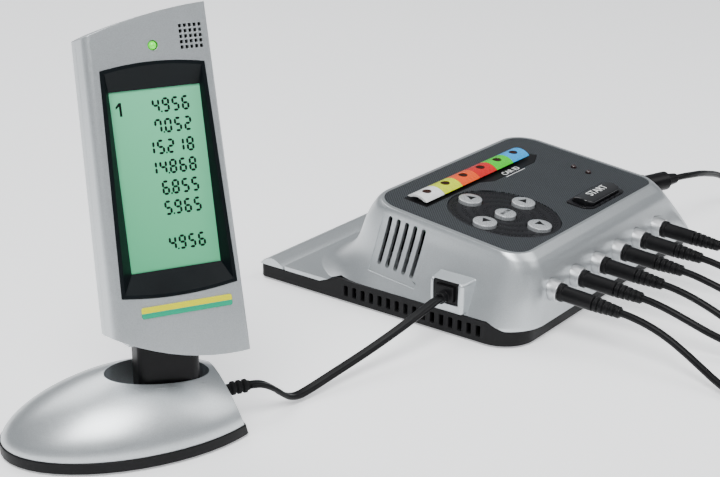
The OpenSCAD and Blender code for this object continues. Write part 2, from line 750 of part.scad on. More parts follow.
// The bezel's outline: middle and half width at its foot, half width at its top, foot and top
bezel_mid = -0.6;
bezel_foot_half = 22.1;
bezel_top_half = 19.6;
bezel_foot_z = -8;
bezel_top_z = 74.5;
bezel_bow = 1.8;
bezel_lip = 1.5;
head_screw_spots = [[-20.5, 80, 14], [8, 80.3, 8.6], [-21, -13.6, 14], [17.5, -16.5, 4.2]];
light_at = [0.4, 82];
grille_at = [15, 84.2];
grille_pitch = [1.85, 1.95];

function bezel_outline(grow) = concat(
    [for (k = [-4:4]) let (h = bezel_foot_half + grow, t = k / 4)
        [bezel_mid + (h - (abs(k) == 4 ? 0 : 0.6)) * t, bezel_foot_z - grow - bezel_bow * (1 - t * t)]],
    [for (k = [4:-1:-4]) let (h = bezel_top_half + grow, t = k / 4)
        [bezel_mid + h * t, bezel_top_z + grow + bezel_bow * (1 - t * t)]]);

// Extrudes an outline drawn across the screen from depth y0 to y1
module through_head(y0, y1) {
    translate([0, y1, 0]) rotate([90, 0, 0]) linear_extrude(height = y1 - y0) children();
}

module head_front_case() {
    color([0.74, 0.77, 0.78]) at_head() difference() {
        union() {
            difference() {
                head_solid(0);
                head_solid(head_wall);
            }
            intersection() {
                head_solid(0);
                for (p = head_screw_spots) translate([p.x, split_y, p.y]) rotate([90, 0, 0])
                    cylinder(r = 2.6, h = 7, $fn = 32);
            }
        }
        behind_split(split_y);
        through_head(-20, 0) polygon(bezel_outline(seat_gap));
        for (p = head_screw_spots) translate([p.x, split_y + 1, p.y]) rotate([90, 0, 0])
            cylinder(r = 1.2, h = 6.4, $fn = 24);
        translate([light_at.x, 0, light_at.y]) rotate([90, 0, 0]) cylinder(r = 1.9, h = 20, $fn = 32);
        for (i = [-2:2], j = [-2:2])
            translate([grille_at.x + i * grille_pitch.x, -5, grille_at.y + j * grille_pitch.y])
                cube([1.1, 10, 1.3], center = true);
    }
}

module neck_pocket(grow) {
    top = tilt_in_head().z + barrel_r + 0.8;
    translate([neck_left - neck_side_gap - grow, split_y - 0.001, -60])
        cube([neck_w + 2 * neck_side_gap + 2 * grow, 60, top + 60 + grow]);
}

module head_back_case() {
    axis = tilt_in_head();
    color([0.68, 0.71, 0.72]) at_head() difference() {
        union() {
            difference() {
                head_solid(0);
                head_solid(head_wall);
            }
            intersection() {
                head_solid(0);
                union() {
                    neck_pocket(pocket_wall);
                    for (p = head_screw_spots) translate([p.x, 40, p.y]) rotate([90, 0, 0])
                        cylinder(r = 3.6, h = 40 - split_y, $fn = 32);
                }
            }
            for (x = [neck_left - neck_side_gap - ear_t, neck_right + neck_side_gap])
                translate([x, axis.y, axis.z]) {
                    rotate([0, 90, 0]) cylinder(r = ear_r, h = ear_t, $fn = 48);
                    translate([0, -8, -ear_r]) cube([ear_t, 8, 2 * ear_r]);
                }
        }
        translate([0, -200, 0]) behind_split(split_y);
        neck_pocket(0);
        translate([neck_left - 20, axis.y, axis.z]) rotate([0, 90, 0])
            cylinder(r = tilt_pin_d / 2, h = 80, $fn = 40);
        for (p = head_screw_spots) translate([p.x, 0, p.y]) rotate([-90, 0, 0]) {
            cylinder(r = 1.4, h = 40, $fn = 24);
            translate([0, 0, min(split_y + 2, p.z)]) cylinder(r = 2.6, h = 40, $fn = 32);
        }
    }
}

module head_screws() {
    color([0.55, 0.56, 0.58]) at_head() for (p = head_screw_spots)
        translate([p.x, min(split_y + 2, p.z) + 1.8, p.y]) rotate([90, 0, 0])
            screw(min(split_y + 2, p.z) + 2.4, 1.15, 2.4);
}

screen_hole = concat([for (k = [-4:4]) [screen_w / 2 * k / 4, 0]],
    [for (k = [4:-1:-4]) [screen_w / 2 * k / 4, screen_h]]);
function at_depth(points, y) = [for (p = points) [p.x, y, p.y]];

module screen_bezel() {
    color([0.17, 0.19, 0.21]) at_head() difference() {
        through_head(head_front_y - 0.4, -0.05) polygon(bezel_outline(0));
        skin([at_depth(screen_hole, 1), at_depth(screen_hole, -0.4),
            at_depth(bezel_outline(-bezel_lip), head_front_y - 0.5)]);
    }
}

module lcd_panel() {
    color([0.62, 0.80, 0.70]) at_head()
        translate([-screen_w / 2 - 1, 0, -1.6]) cube([screen_w + 2, 1.8, screen_h + 3.2]);
}

module display_board() {
    color([0.05, 0.28, 0.14]) at_head() {
        translate([-19, 4.3, 2]) cube([26, 1.6, 72]);
        translate([-14, 5.9, 30]) cube([12, 2, 12]);
        translate([-19, 5.9, 50]) cube([9, 3, 9]);
    }
}

module lap_light() {
    color([0.25, 0.85, 0.15]) at_head() translate([light_at.x, -1.4, light_at.y]) rotate([90, 0, 0]) {
        cylinder(r = 1.6, h = 1.6, $fn = 32);
        translate([0, 0, 1.6]) intersection() {
            sphere(r = 1.6, $fn = 32);
            translate([0, 0, 2]) cube([4, 4, 4], center = true);
        }
    }
}

module tilt_pin() {
    color([0.75, 0.76, 0.78]) at_stand()
        translate([lean_origin.x + neck_left - neck_side_gap - ear_t, tilt_axis.y, tilt_axis.z])
            rotate([0, 90, 0])
                cylinder(r = tilt_pin_d / 2, h = neck_w + 2 * neck_side_gap + 2 * ear_t, $fn = 40);
}

// ---------- display stand ----------

module neck() {
    y0 = tilt_axis.y - neck_d / 2;
    color([0.06, 0.06, 0.065]) at_stand() difference() {
        union() {
            translate([0, 0, well_floor_z + 0.1]) linear_extrude(height = tilt_axis.z - well_floor_z - 0.1)
                polygon(plan(neck_x - neck_w / 2, neck_x + neck_w / 2, y0, y0 + neck_d, [4, 4, 2, 2]));
            translate([neck_x, tilt_axis.y, tilt_axis.z]) rotate([0, 90, 0])
                cylinder(r = barrel_r, h = neck_w, center = true, $fn = 64);
        }
        translate([neck_x, tilt_axis.y, tilt_axis.z]) rotate([0, 90, 0])
            cylinder(r = tilt_pin_d / 2 + tilt_clear, h = neck_w + 2, center = true, $fn = 40);
        for (s = [-1, 1]) translate([neck_x + s * 7, tilt_axis.y, well_floor_z - 1])
            cylinder(r = 1.5, h = 11, $fn = 24);
    }
}

function dome_rings(inset) = [for (a = [0, 12, 25, 38, 50, 61, 71, 80])
    let (k = pow(cos(a), dome_power), z = stand_base_h + (dome_h - inset) * pow(sin(a), dome_power))
    [for (p = oval([stand_cx, dome_lean * sin(a)], [(stand_a - inset) * k, (stand_b - inset) * k]))
        [p.x, p.y, z]]];

module before_end(inset) {
    translate([stand_end - inset, 0, 0]) rotate([0, -stand_end_lean, 0])
        translate([-300, -150, -50]) cube([300, 300, 200]);
}

module stand_prism(grow, z0, z1) {
    intersection() {
        translate([0, 0, z0]) linear_extrude(height = z1 - z0)
            polygon(oval([stand_cx, 0], [stand_a + grow, stand_b + grow]));
        before_end(-grow);
    }
}

stand_screw_spots = [[-48, 0], [0, 22], [8, -23]];

module stand_cover() {
    color([0.72, 0.75, 0.77]) at_stand() difference() {
        union() {
            difference() {
                intersection() {
                    skin(dome_rings(0));
                    before_end(0);
                }
                intersection() {
                    translate([0, 0, -0.5]) skin(dome_rings(dome_wall));
                    before_end(dome_wall);
                }
            }
            intersection() {
                skin(dome_rings(0));
                before_end(0);
                union() {
                    translate([0, 0, well_floor_z - well_wall]) linear_extrude(height = 40)
                        polygon(oval(well_centre, well_half + [well_wall, well_wall]));
                    for (p = stand_screw_spots) translate([p.x, p.y, stand_base_h])
                        cylinder(r = 3.2, h = 30, $fn = 32);
                }
            }
        }
        translate([0, 0, well_floor_z]) linear_extrude(height = 40) polygon(oval(well_centre, well_half));
        for (s = [-1, 1]) translate([neck_x + s * 7, tilt_axis.y, 5]) cylinder(r = 1.7, h = 20, $fn = 24);
        for (p = stand_screw_spots) translate([p.x, p.y, 1]) cylinder(r = 1.5, h = 11, $fn = 24);
        translate(grommet_at) rotate([0, 90, 0]) cylinder(r = 2.1, h = 20, center = true, $fn = 32);
    }
}

module stand_base() {
    color([0.06, 0.06, 0.065]) at_stand() difference() {
        union() {
            difference() {
                stand_prism(0.6, foot_h, stand_base_h);
                stand_prism(-1.6, foot_h + 1.6, stand_base_h + 1);
            }
            for (p = stand_screw_spots) translate([p.x, p.y, foot_h])
                cylinder(r = 3.6, h = stand_base_h - foot_h, $fn = 32);
        }
        for (p = stand_screw_spots) translate([p.x, p.y, 0]) {
            cylinder(r = 1.7, h = 20, $fn = 24);
            cylinder(r = 3, h = foot_h + 2.2, $fn = 32);
        }
        for (p = stand_feet) translate([p.x, p.y, 0])
            cylinder(r = foot_r + seat_gap, h = foot_h + foot_sink, $fn = 40);
    }
}

stand_feet = [[-38, 0], [8, 12], [-2, -16]];

module stand_weight() {
    color([0.45, 0.46, 0.48]) at_stand() difference() {
        translate([0, 0, foot_h + 1.7]) linear_extrude(height = 6)
            polygon(plan(-42, 14, -19, 18, [8, 8, 8, 8]));
        for (p = stand_screw_spots) translate([p.x, p.y, 0]) cylinder(r = 4.2, h = 30, $fn = 32);
    }
}

module cord_grommet() {
    color([0.05, 0.05, 0.055]) at_stand() translate(grommet_at) rotate([0, 90, 0]) {
        translate([0, 0, -3]) cylinder(r = 2, h = 3 + grommet_out, $fn = 32);
        for (z = [1.2, 3.7, 6.2]) translate([0, 0, z]) cylinder(r = 2.8, h = 1.6, $fn = 32);
    }
}

// ---------- fixings and feet ----------

module case_screws() {
    color([0.55, 0.56, 0.58]) {
        for (p = boss_spots) translate([p.x, p.y, 3.1]) screw(18.5, 1.45, 2.9);
        at_stand() {
            for (p = stand_screw_spots) translate([p.x, p.y, 1.4]) screw(10.4, 1.45, 2.8);
            for (s = [-1, 1]) translate([neck_x + s * 7, tilt_axis.y, well_floor_z - well_wall - 1.9])
                screw(13, 1.45, 2.8);
        }
    }
}

module rubber_feet() {
    color([0.12, 0.12, 0.125]) {
        for (p = foot_spots) translate([p.x, p.y, 0]) cylinder(r = foot_r, h = foot_h + foot_sink, $fn = 40);
        at_stand() for (p = stand_feet) translate([p.x, p.y, 0])
            cylinder(r = foot_r, h = foot_h + foot_sink, $fn = 40);
    }
}

// ---------- the pieces ----------

base_tray();
top_shell();
track_edge_strip();
control_panel();
car_key_surround();
keypad_surround();
status_lights();
link_socket();
link_plug();
throttle_sockets();
throttle_plugs();
lead_connectors();
dc_socket();
dc_plug();
power_adaptor();
main_board();
key_switches();
heat_sink();
case_screws();
rubber_feet();
car_key(0, [0.92, 0.92, 0.93]);  // car_key_1
car_key(1, [0.90, 0.93, 0.05]);  // car_key_2
car_key(2, [0.95, 0.35, 0.05]);  // car_key_3
car_key(3, [0.86, 0.08, 0.08]);  // car_key_4
car_key(4, [0.35, 0.88, 0.15]);  // car_key_5
car_key(5, [0.25, 0.75, 0.92]);  // car_key_6
round_key(arrow_spots[0], arrow_d, [0.66, 0.68, 0.70]);  // up_key
round_key(arrow_spots[1], arrow_d, [0.66, 0.68, 0.70]);  // down_key
round_key(arrow_spots[2], arrow_d, [0.66, 0.68, 0.70]);  // left_key
round_key(arrow_spots[3], arrow_d, [0.66, 0.68, 0.70]);  // right_key
round_key(enter_spot, enter_d, [0.66, 0.68, 0.70]);  // enter_key
start_key();
head_front_case();
head_back_case();
screen_bezel();
lcd_panel();
display_board();
lap_light();
head_screws();
tilt_pin();
neck();
stand_cover();
stand_base();
stand_weight();
cord_grommet();
link_cord();
throttle_lead(0);  // throttle_lead_1
throttle_lead(1);  // throttle_lead_2
throttle_lead(2);  // throttle_lead_3
throttle_lead(3);  // throttle_lead_4
throttle_lead(4);  // throttle_lead_5
throttle_lead(5);  // throttle_lead_6
power_lead();
lead_coil(0);  // lead_coil_1
lead_coil(1);  // lead_coil_2
lead_coil(2);  // lead_coil_3
lead_coil(3);  // lead_coil_4
lead_coil(4);  // lead_coil_5
lead_coil(5);  // lead_coil_6
coil(power_coil_at, power_coil_r, power_d, power_coil_cols);  // power_coil
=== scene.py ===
import bpy, json
from math import cos, pi, radians, sin
from mathutils import Matrix, Vector

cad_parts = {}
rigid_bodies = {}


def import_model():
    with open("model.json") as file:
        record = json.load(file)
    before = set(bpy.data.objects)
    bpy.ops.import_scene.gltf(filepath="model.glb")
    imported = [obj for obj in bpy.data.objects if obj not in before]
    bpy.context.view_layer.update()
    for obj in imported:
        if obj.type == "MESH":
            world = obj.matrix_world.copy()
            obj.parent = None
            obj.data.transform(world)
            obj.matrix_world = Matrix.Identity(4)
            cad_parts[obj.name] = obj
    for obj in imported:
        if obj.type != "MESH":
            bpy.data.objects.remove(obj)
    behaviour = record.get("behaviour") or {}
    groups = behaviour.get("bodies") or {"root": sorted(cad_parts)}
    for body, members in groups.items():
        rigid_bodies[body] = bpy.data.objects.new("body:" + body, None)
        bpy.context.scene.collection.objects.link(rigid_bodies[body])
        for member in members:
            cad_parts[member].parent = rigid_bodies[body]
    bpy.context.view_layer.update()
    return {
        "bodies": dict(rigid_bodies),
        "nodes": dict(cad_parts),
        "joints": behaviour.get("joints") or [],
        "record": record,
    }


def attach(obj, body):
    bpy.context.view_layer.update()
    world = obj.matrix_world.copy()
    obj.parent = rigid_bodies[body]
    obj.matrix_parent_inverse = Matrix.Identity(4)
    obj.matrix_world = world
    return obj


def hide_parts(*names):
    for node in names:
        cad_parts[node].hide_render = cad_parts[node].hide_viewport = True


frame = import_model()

# The camera stands in front of the two units and to their left, a little above
# the keys, with a long lens that keeps their upright lines nearly parallel.
bpy.ops.object.camera_add(location=(-0.5855, -0.3716, 0.2764), rotation=(radians(90 - 21.03), 0, radians(-52.43)))
camera = bpy.context.object
camera.data.lens = 72.96
camera.data.sensor_width = 36
camera.data.clip_start = 0.01
bpy.context.scene.camera = camera

# Six hand-controller leads: soft black PVC over two twisted cores, 3.4 mm thick.
# Each leaves its plug, drops to the table and is stored as a double-row coil,
# with its inline socket lying on the coil. The plugs are PVC overmoulds, ribbed at the back.
MM = 0.001


class Wire:
    """A value on its way through a finish's nodes, which ordinary sums work on."""

    def __init__(self, finish, socket):
        self.finish, self.socket = finish, socket

    def sum(self, operation, *values):
        return self.finish.node("ShaderNodeMath", dict(enumerate(values)), operation=operation)

    def __add__(self, other): return self.sum("ADD", self, other)
    def __radd__(self, other): return self.sum("ADD", other, self)
    def __sub__(self, other): return self.sum("SUBTRACT", self, other)
    def __rsub__(self, other): return self.sum("SUBTRACT", other, self)
    def __mul__(self, other): return self.sum("MULTIPLY", self, other)
    def __rmul__(self, other): return self.sum("MULTIPLY", other, self)
    def __truediv__(self, other): return self.sum("DIVIDE", self, other)
    def __rtruediv__(self, other): return self.sum("DIVIDE", other, self)
    def __pow__(self, other): return self.sum("POWER", self, other)
    def over(self, other): return self.sum("GREATER_THAN", self, other)
    def under(self, other): return self.sum("LESS_THAN", self, other)
    def wrap(self, size): return self.sum("FLOORED_MODULO", self, size)
    def size(self): return self.sum("ABSOLUTE", self)


class Finish:
    """One material of the object. node() makes every node in it."""

    def __init__(self, name, colour, roughness, metallic=0.0, coat=0.0, coat_roughness=0.15, specular=0.5):
        self.material = bpy.data.materials.new(name)
        self.material.use_nodes = True
        self.tree = self.material.node_tree
        self.shader = self.tree.nodes["Principled BSDF"]
        self.colour, self.roughness = (*colour, 1), roughness
        for key, value in (("Base Color", self.colour), ("Roughness", roughness), ("Metallic", metallic),
                           ("Coat Weight", coat), ("Coat Roughness", coat_roughness),
                           ("Specular IOR Level", specular)):
            self.shader.inputs[key].default_value = value
        self.material.diffuse_color = self.colour

    def node(self, kind, inputs, out=0, **settings):
        made = self.tree.nodes.new(kind)
        for key, value in settings.items():
            setattr(made, key, value)
        for key, value in inputs.items():
            if isinstance(value, Wire):
                self.tree.links.new(value.socket, made.inputs[key])
            else:
                made.inputs[key].default_value = value
        return Wire(self, made.outputs[out])

    def place(self, frame=Matrix()):
        """Object coordinates, in millimetres, as they are measured in a frame of the object."""
        spot = self.node("ShaderNodeTexCoord", {}, out="Object")
        return self.node("ShaderNodeMapping", {"Vector": spot, "Location": frame.translation,
                         "Rotation": frame.to_euler(), "Scale": (MM, MM, MM)}, vector_type="TEXTURE")

    def axes(self, place):
        return [self.node("ShaderNodeSeparateXYZ", {0: place}, out=k) for k in range(3)]

    def noise(self, place, scale, detail=2.0, roughness=0.5):
        return self.node("ShaderNodeTexNoise", {"Vector": place, "Scale": scale, "Detail": detail,
                         "Roughness": roughness}, out=0)

    def cells(self, place, scale):
        """A grey value of its own for each small cell, such as a flake in paint."""
        return self.axes(self.node("ShaderNodeTexVoronoi", {"Vector": place, "Scale": scale}, out="Color"))[0]

    def mix(self, share, first, second):
        return self.node("ShaderNodeMix", {0: share, 6: first, 7: second}, out=2, data_type="RGBA")

    def shade(self, value, low, high):
        """The finish's own colour, darkened or lightened by a value from 0 to 1."""
        c = self.colour
        return self.mix(value, tuple(k * low for k in c[:3]) + (1,), tuple(min(1, k * high) for k in c[:3]) + (1,))

    def drive(self, key, value):
        self.tree.links.new(value.socket, self.shader.inputs[key])

    def raise_by(self, height, millimetres, strength=1.0):
        """A height from 0 to 1 becomes relief of that many millimetres."""
        self.drive("Normal", self.node("ShaderNodeBump", {"Strength": strength, "Distance": millimetres * MM,
                                       "Height": height}))


def soft_black(name, colour, roughness, grain, depth):
    """Black plastic or rubber from a sparked mould: fine grain, faint handling marks."""
    finish = Finish(name, colour, roughness, specular=0.13)
    spot = finish.place()
    fine = finish.noise(spot, grain, 3.0, 0.6)
    marks = finish.noise(spot, 0.09, 3.0)
    finish.drive("Base Color", finish.shade(marks, 0.4, 0.75))
    finish.drive("Roughness", roughness - 0.09 + marks * 0.12 + fine * 0.08)
    finish.raise_by(fine, depth)
    return finish


cord_jacket = soft_black("cord_jacket", (0.012, 0.012, 0.013), 0.34, 1.1, 0.03)


def choose(*pieces):
    """Selects these objects alone; the first is the active one."""
    bpy.ops.object.select_all(action="DESELECT")
    for piece in pieces:
        piece.select_set(True)
    bpy.context.view_layer.objects.active = pieces[0]


def lay_cord(name, points, thickness, finish):
    """One smooth open spline through the route's points, in millimetres."""
    curve = bpy.data.curves.new(name, "CURVE")
    curve.dimensions = "3D"
    spline = curve.splines.new("BEZIER")
    spline.bezier_points.add(len(points) - 1)
    for knot, point in zip(spline.bezier_points, points):
        knot.co = Vector(point) * MM
        knot.handle_left_type = knot.handle_right_type = "AUTO"
    spline.resolution_u = 3
    curve.bevel_depth = thickness / 2 * MM
    curve.bevel_resolution = 3
    curve.use_fill_caps = True
    curve.materials.append(finish.material)
    lead = bpy.data.objects.new(name, curve)
    bpy.context.collection.objects.link(lead)
    return lead


def wind(centre, sense, start, stop, radii, pitch, low, high, last_rise):
    """The turns of a coil of two rows: inwards on the table, then outwards on top of that row."""
    points, rows = [], [(low, radii), (high, radii[::-1])]
    for row, (z, turns) in enumerate(rows):
        for k, r in enumerate(turns):
            final = k == len(turns) - 1
            after = turns[k + 1] if not final else r
            span = 360 if not (row == 1 and final) else stop
            for step in range(0, int(span / 15)):
                t = step * 15 / 360
                ease = max(0, (t - 0.6) / 0.4)
                ease = ease * ease * (3 - 2 * ease)
                lift = (high - low) * ease if final and row == 0 else 0
                if row == 1 and final:
                    late = max(0, (step * 15 / stop - 0.6) / 0.4)
                    lift = last_rise * late * late
                turn = radians(start + sense * step * 15)
                reach = r + (after - r) * ease
                points.append((centre[0] + reach * cos(turn), centre[1] + reach * sin(turn), z + lift))
    return points


def eased(name, node, width, angle=38, segments=2):
    """A copy of a CAD node, merged and with its sharp edges rounded by a small radius, in millimetres."""
    source = frame["nodes"][node]
    piece = bpy.data.objects.new(name, source.data.copy())
    bpy.context.collection.objects.link(piece)
    piece.data.transform(Matrix.Diagonal((1 / MM, 1 / MM, 1 / MM, 1)))
    choose(piece)
    bpy.ops.object.mode_set(mode="EDIT")
    bpy.ops.mesh.select_all(action="SELECT")
    bpy.ops.mesh.remove_doubles(threshold=0.002)
    bpy.ops.mesh.dissolve_limited(angle_limit=radians(0.8))
    bpy.ops.object.mode_set(mode="OBJECT")
    if not width:
        return piece
    ease = piece.modifiers.new("ease", "BEVEL")
    ease.width, ease.segments, ease.limit_method, ease.angle_limit = width, segments, "ANGLE", radians(angle)
    ease.use_clamp_overlap, ease.miter_outer = False, "MITER_ARC"
    bpy.ops.object.modifier_apply(modifier="ease")
    return piece


def done(piece, finish, body, *nodes, frame_of=None, angle=40, slot=None):
    """Sets a piece built in millimetres in its place, and gives it its finish and its part in the frame."""
    scale = Matrix.Diagonal((MM, MM, MM, 1))
    piece.data.transform((frame_of or Matrix()) @ scale)
    piece.data.materials.clear()
    piece.data.materials.append(finish.material)
    choose(piece)
    bpy.ops.object.shade_smooth_by_angle(angle=radians(angle))
    flats = piece.modifiers.new("flats", "WEIGHTED_NORMAL")
    flats.keep_sharp = True
    bpy.ops.object.modifier_apply(modifier="flats")
    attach(piece, body)
    if nodes:
        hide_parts(*nodes)
    return piece


def apart(piece, names):
    """Splits a piece of several loose bodies into one piece each, named from left to right."""
    choose(piece)
    bpy.ops.object.mode_set(mode="EDIT")
    bpy.ops.mesh.separate(type="LOOSE")
    bpy.ops.object.mode_set(mode="OBJECT")
    parts = sorted(bpy.context.selected_objects, key=lambda o: min(v.co.x for v in o.data.vertices))
    for part, name in zip(parts, names):
        part.name = name
    return parts


plug_black = soft_black("plug_black", (0.012, 0.012, 0.013), 0.30, 1.8, 0.02)
plugs = apart(eased("plug", "throttle_plugs", 0.35, 40, 3), ["controller_plug_%d" % k for k in range(1, 7)])
inline_sockets = apart(eased("inline", "lead_connectors", 0.6, 40, 3), ["inline_socket_%d" % k for k in range(1, 7)])
for piece in plugs:
    done(piece, plug_black, "base", "throttle_plugs", slot="plug_black")
for piece in inline_sockets:
    done(piece, plug_black, "base", "lead_connectors", slot="plug_black")
lead_d = 3.4
lead_drop = [(0, -109.4, 20.3), (0, -114, 19.8), (0, -122, 18.2), (0.03, -131, 15.4), (0.12, -140, 11.8),
             (0.28, -149, 8.2), (0.48, -158, 5), (0.68, -167, 2.8), (0.86, -176, 1.8), (0.97, -184, 1.7),
             (1, -190, 1.7), (1, -195.7, 1.7)]
lead_pass = [(1, -203, 1.7), (1, -212, 1.7), (1, -221, 1.7), (1, -230, 1.7), (1, -240, 1.7), (1, -249.7, 1.7)]
lead_tail = [(2.6, 23.8, 7.1), (-2.6, 23.5, 8), (-7.3, 21.7, 9.1), (-10.9, 18.5, 10.1), (-13, 14.6, 10.7),
             (-13.6, 10.2, 10.95)]
for number, coil_x in enumerate((-50, -45.3, 7, 11.7, 64, 68.7)):
    right = number % 2
    side = -1 if right else 1
    coil_y = -259 if right else -205
    start_x, end_x = -60 + 20 * number, coil_x - side * 23.8
    route = [(start_x + (end_x - start_x) * p[0], p[1], p[2]) for p in lead_drop + (lead_pass if right else [])]
    route += wind((coil_x, coil_y), side, 0 if right else 180, 258, [23.8, 20.4, 17, 13.6], lead_d, 1.7, 5.1, 1.6)
    route += [(coil_x + side * p[0], coil_y + p[1], p[2]) for p in lead_tail]
    lead = lay_cord("controller_lead_%d" % (number + 1), route, lead_d, cord_jacket)
    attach(lead, "base")
    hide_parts("throttle_lead_%d" % (number + 1), "lead_coil_%d" % (number + 1))

# The mains adaptor's lead: the same PVC, 3.4 mm thick. It droops from the DC plug
# behind the base, and the rest is wound beside the base and ends in the adaptor.
power_route = [(91.7, -59.7, 31), (97, -61.2, 30.8), (105, -62.6, 29.8), (115, -63.2, 28), (126, -63, 25),
               (137, -62.6, 21.6), (148, -63.5, 17), (159, -67.5, 11.5), (167.5, -75, 6.3), (172, -85, 2.9),
               (173.2, -97, 1.7), (171.8, -108.8, 1.7)]
power_tail = [(172, -131.2, 5.2), (170.6, -141, 3.6), (166.5, -151, 2.6), (160, -160, 3.4), (154, -166.5, 6),
              (150.8, -172, 8.6), (150, -176, 9.5)]
power_turns = wind((142, -120), -1, 0, 360, [30, 26.6, 23.2, 19.8, 16.4, 13], lead_d, 1.7, 5.1, 0)
power_cord = lay_cord("adaptor_lead", power_route + power_turns + [(172, -120, 5.1)] + power_tail, lead_d,
                      cord_jacket)
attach(power_cord, "base")
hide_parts("power_lead", "power_coil")

# The link cord: a flat four-core ribbon in black PVC, 5 mm wide, with a rounded
# bead along each edge. It runs from the modular plug to the stand's strain relief.
link_route = [(-94.1, -38, 19.9), (-98.5, -38, 19.8), (-104, -38, 19), (-112, -37.3, 17.2), (-121, -36, 14.8),
              (-130, -34.2, 12.2), (-139, -32.4, 9.8), (-148, -30.8, 7.8), (-157, -29.4, 6.1), (-165, -28.2, 4.6),
              (-173, -27, 3.2), (-178.5, -26.2, 2.8), (-183, -25.5, 4), (-186.5, -24.9, 6.4),
              (-189.5, -24.3, 9.2), (-193, -23.4, 12), (-196.5, -22, 13.9), (-200.4, -20.1, 14.5)]
link_half, link_thick = 2.5, 1.3


def through(points, parts):
    """Points on one smooth curve through the given points, with that many parts to each span."""
    out = []
    for k in range(len(points) - 1):
        before, here = Vector(points[max(k - 1, 0)]), Vector(points[k])
        there, after = Vector(points[k + 1]), Vector(points[min(k + 2, len(points) - 1)])
        for step in range(parts):
            t = step / parts
            out.append(0.5 * (2 * here + (there - before) * t + (2 * before - 5 * here + 4 * there - after) * t * t
                              + (3 * here - before - 3 * there + after) * t ** 3))
    return out + [Vector(points[-1])]


def loft(name, rings, closed_ends=True):
    """A skin over rings that hold the same number of points each."""
    count = len(rings[0])
    faces = [(j * count + k, j * count + (k + 1) % count, (j + 1) * count + (k + 1) % count, (j + 1) * count + k)
             for j in range(len(rings) - 1) for k in range(count)]
    if closed_ends:
        faces += [tuple(range(count - 1, -1, -1)), tuple((len(rings) - 1) * count + k for k in range(count))]
    mesh = bpy.data.meshes.new(name)
    mesh.from_pydata([tuple(p) for ring in rings for p in ring], [], faces)
    piece = bpy.data.objects.new(name, mesh)
    bpy.context.collection.objects.link(piece)
    choose(piece)
    bpy.ops.object.mode_set(mode="EDIT")
    bpy.ops.mesh.select_all(action="SELECT")
    bpy.ops.mesh.normals_make_consistent(inside=False)
    bpy.ops.object.mode_set(mode="OBJECT")
    return piece


link_path = through(link_route, 4)
link_rings = []
for k, point in enumerate(link_path):
    run = (link_path[min(k + 1, len(link_path) - 1)] - link_path[max(k - 1, 0)]).normalized()
    across = Vector((0, 0, 1)).cross(run).normalized()
    up = run.cross(across)
    ring = []
    for step in range(24):
        turn = 2 * pi * step / 24
        wide = abs(cos(turn)) ** 0.75 * (1 if cos(turn) > 0 else -1)
        waist = 1 - 0.28 * max(0, 1 - (wide / 0.55) ** 2)
        ring.append(point + across * link_half * wide + up * link_thick * waist * sin(turn))
    link_rings.append(ring)
link_ribbon = loft("link_ribbon", link_rings)
done(link_ribbon, cord_jacket, "base", "link_cord", angle=60, slot="cord_jacket")
[p * MM for p in link_path]

# The base's tray: one black ABS moulding with a floor, low walls, screw bosses and
# a row of cooling slots. Its edges are broken by the mould's small radius.
black_case = soft_black("black_case", (0.013, 0.013, 0.014), 0.42, 2.2, 0.04)
done(eased("tray", "base_tray", 0.35), black_case, "base", "base_tray", slot="black_case")

# The five round feet under the base and three under the stand are soft black rubber,
# pressed into recesses of the trays.
rubber = soft_black("rubber", (0.02, 0.02, 0.021), 0.75, 0.8, 0.06)


def finish_node(finish, *nodes):
    """A CAD node that keeps its own shape takes a finish."""
    for node in nodes:
        slots = frame["nodes"][node].data.materials
        slots.clear()
        slots.append(finish.material)


finish_node(rubber, "rubber_feet")

# The base's top shell: a moulded ABS hood under silver metallic lacquer. Its walls
# flare out to the tray and to the low track ledge behind, and a rolled rim frames the panel.


def flake_silver(name, colour, roughness, metallic=0.8):
    """Metallic lacquer: tiny bright flakes under a thin clear coat, faintly uneven."""
    finish = Finish(name, colour, roughness, metallic, coat=0.25, coat_roughness=0.22)
    spot = finish.place()
    flakes = finish.cells(spot, 4.5)
    cloud = finish.noise(spot, 0.03, 2.0)
    finish.drive("Base Color", finish.shade(flakes * 0.55 + cloud * 0.45, 0.86, 1.14))
    finish.drive("Roughness", roughness - 0.05 + flakes * 0.10)
    finish.raise_by(finish.noise(spot, 0.9, 2.0) * 0.7 + flakes * 0.3, 0.008)
    return finish


case_silver = flake_silver("case_silver", (0.53, 0.56, 0.575), 0.36)
panel_tilt, panel_length, panel_front, panel_height = radians(6.6), 81, -66, 40.6
panel_frame = (Matrix.Translation(Vector((-10, panel_front, panel_height)) * MM)
               @ Matrix.Rotation(panel_tilt, 4, "X"))
panel_rear = panel_front + panel_length * cos(panel_tilt)
rim_box = (-77.2, 57.2, -69.2, panel_rear + 3.2)
foot_box = (-87.3, 86, -76, 57)
rim_r, foot_r = (12, 10, 15, 17), (20, 11, 32, 42)
hood_levels = [(5, 0, 1, 1, 1), (9.5, 0, 1, 1, 1), (14, 0, 0.84, 0.97, 0.70), (22.7, 0.15, 0.52, 0.88, 0.39),
               (33, 0.55, 0.18, 0.57, 0.19), (37.5, 0.9, 0.05, 0.25, 0.06), (39.4, 1, 0, 0, 0),
               (40.9, 1, -0.05, -0.24, -0.04)]


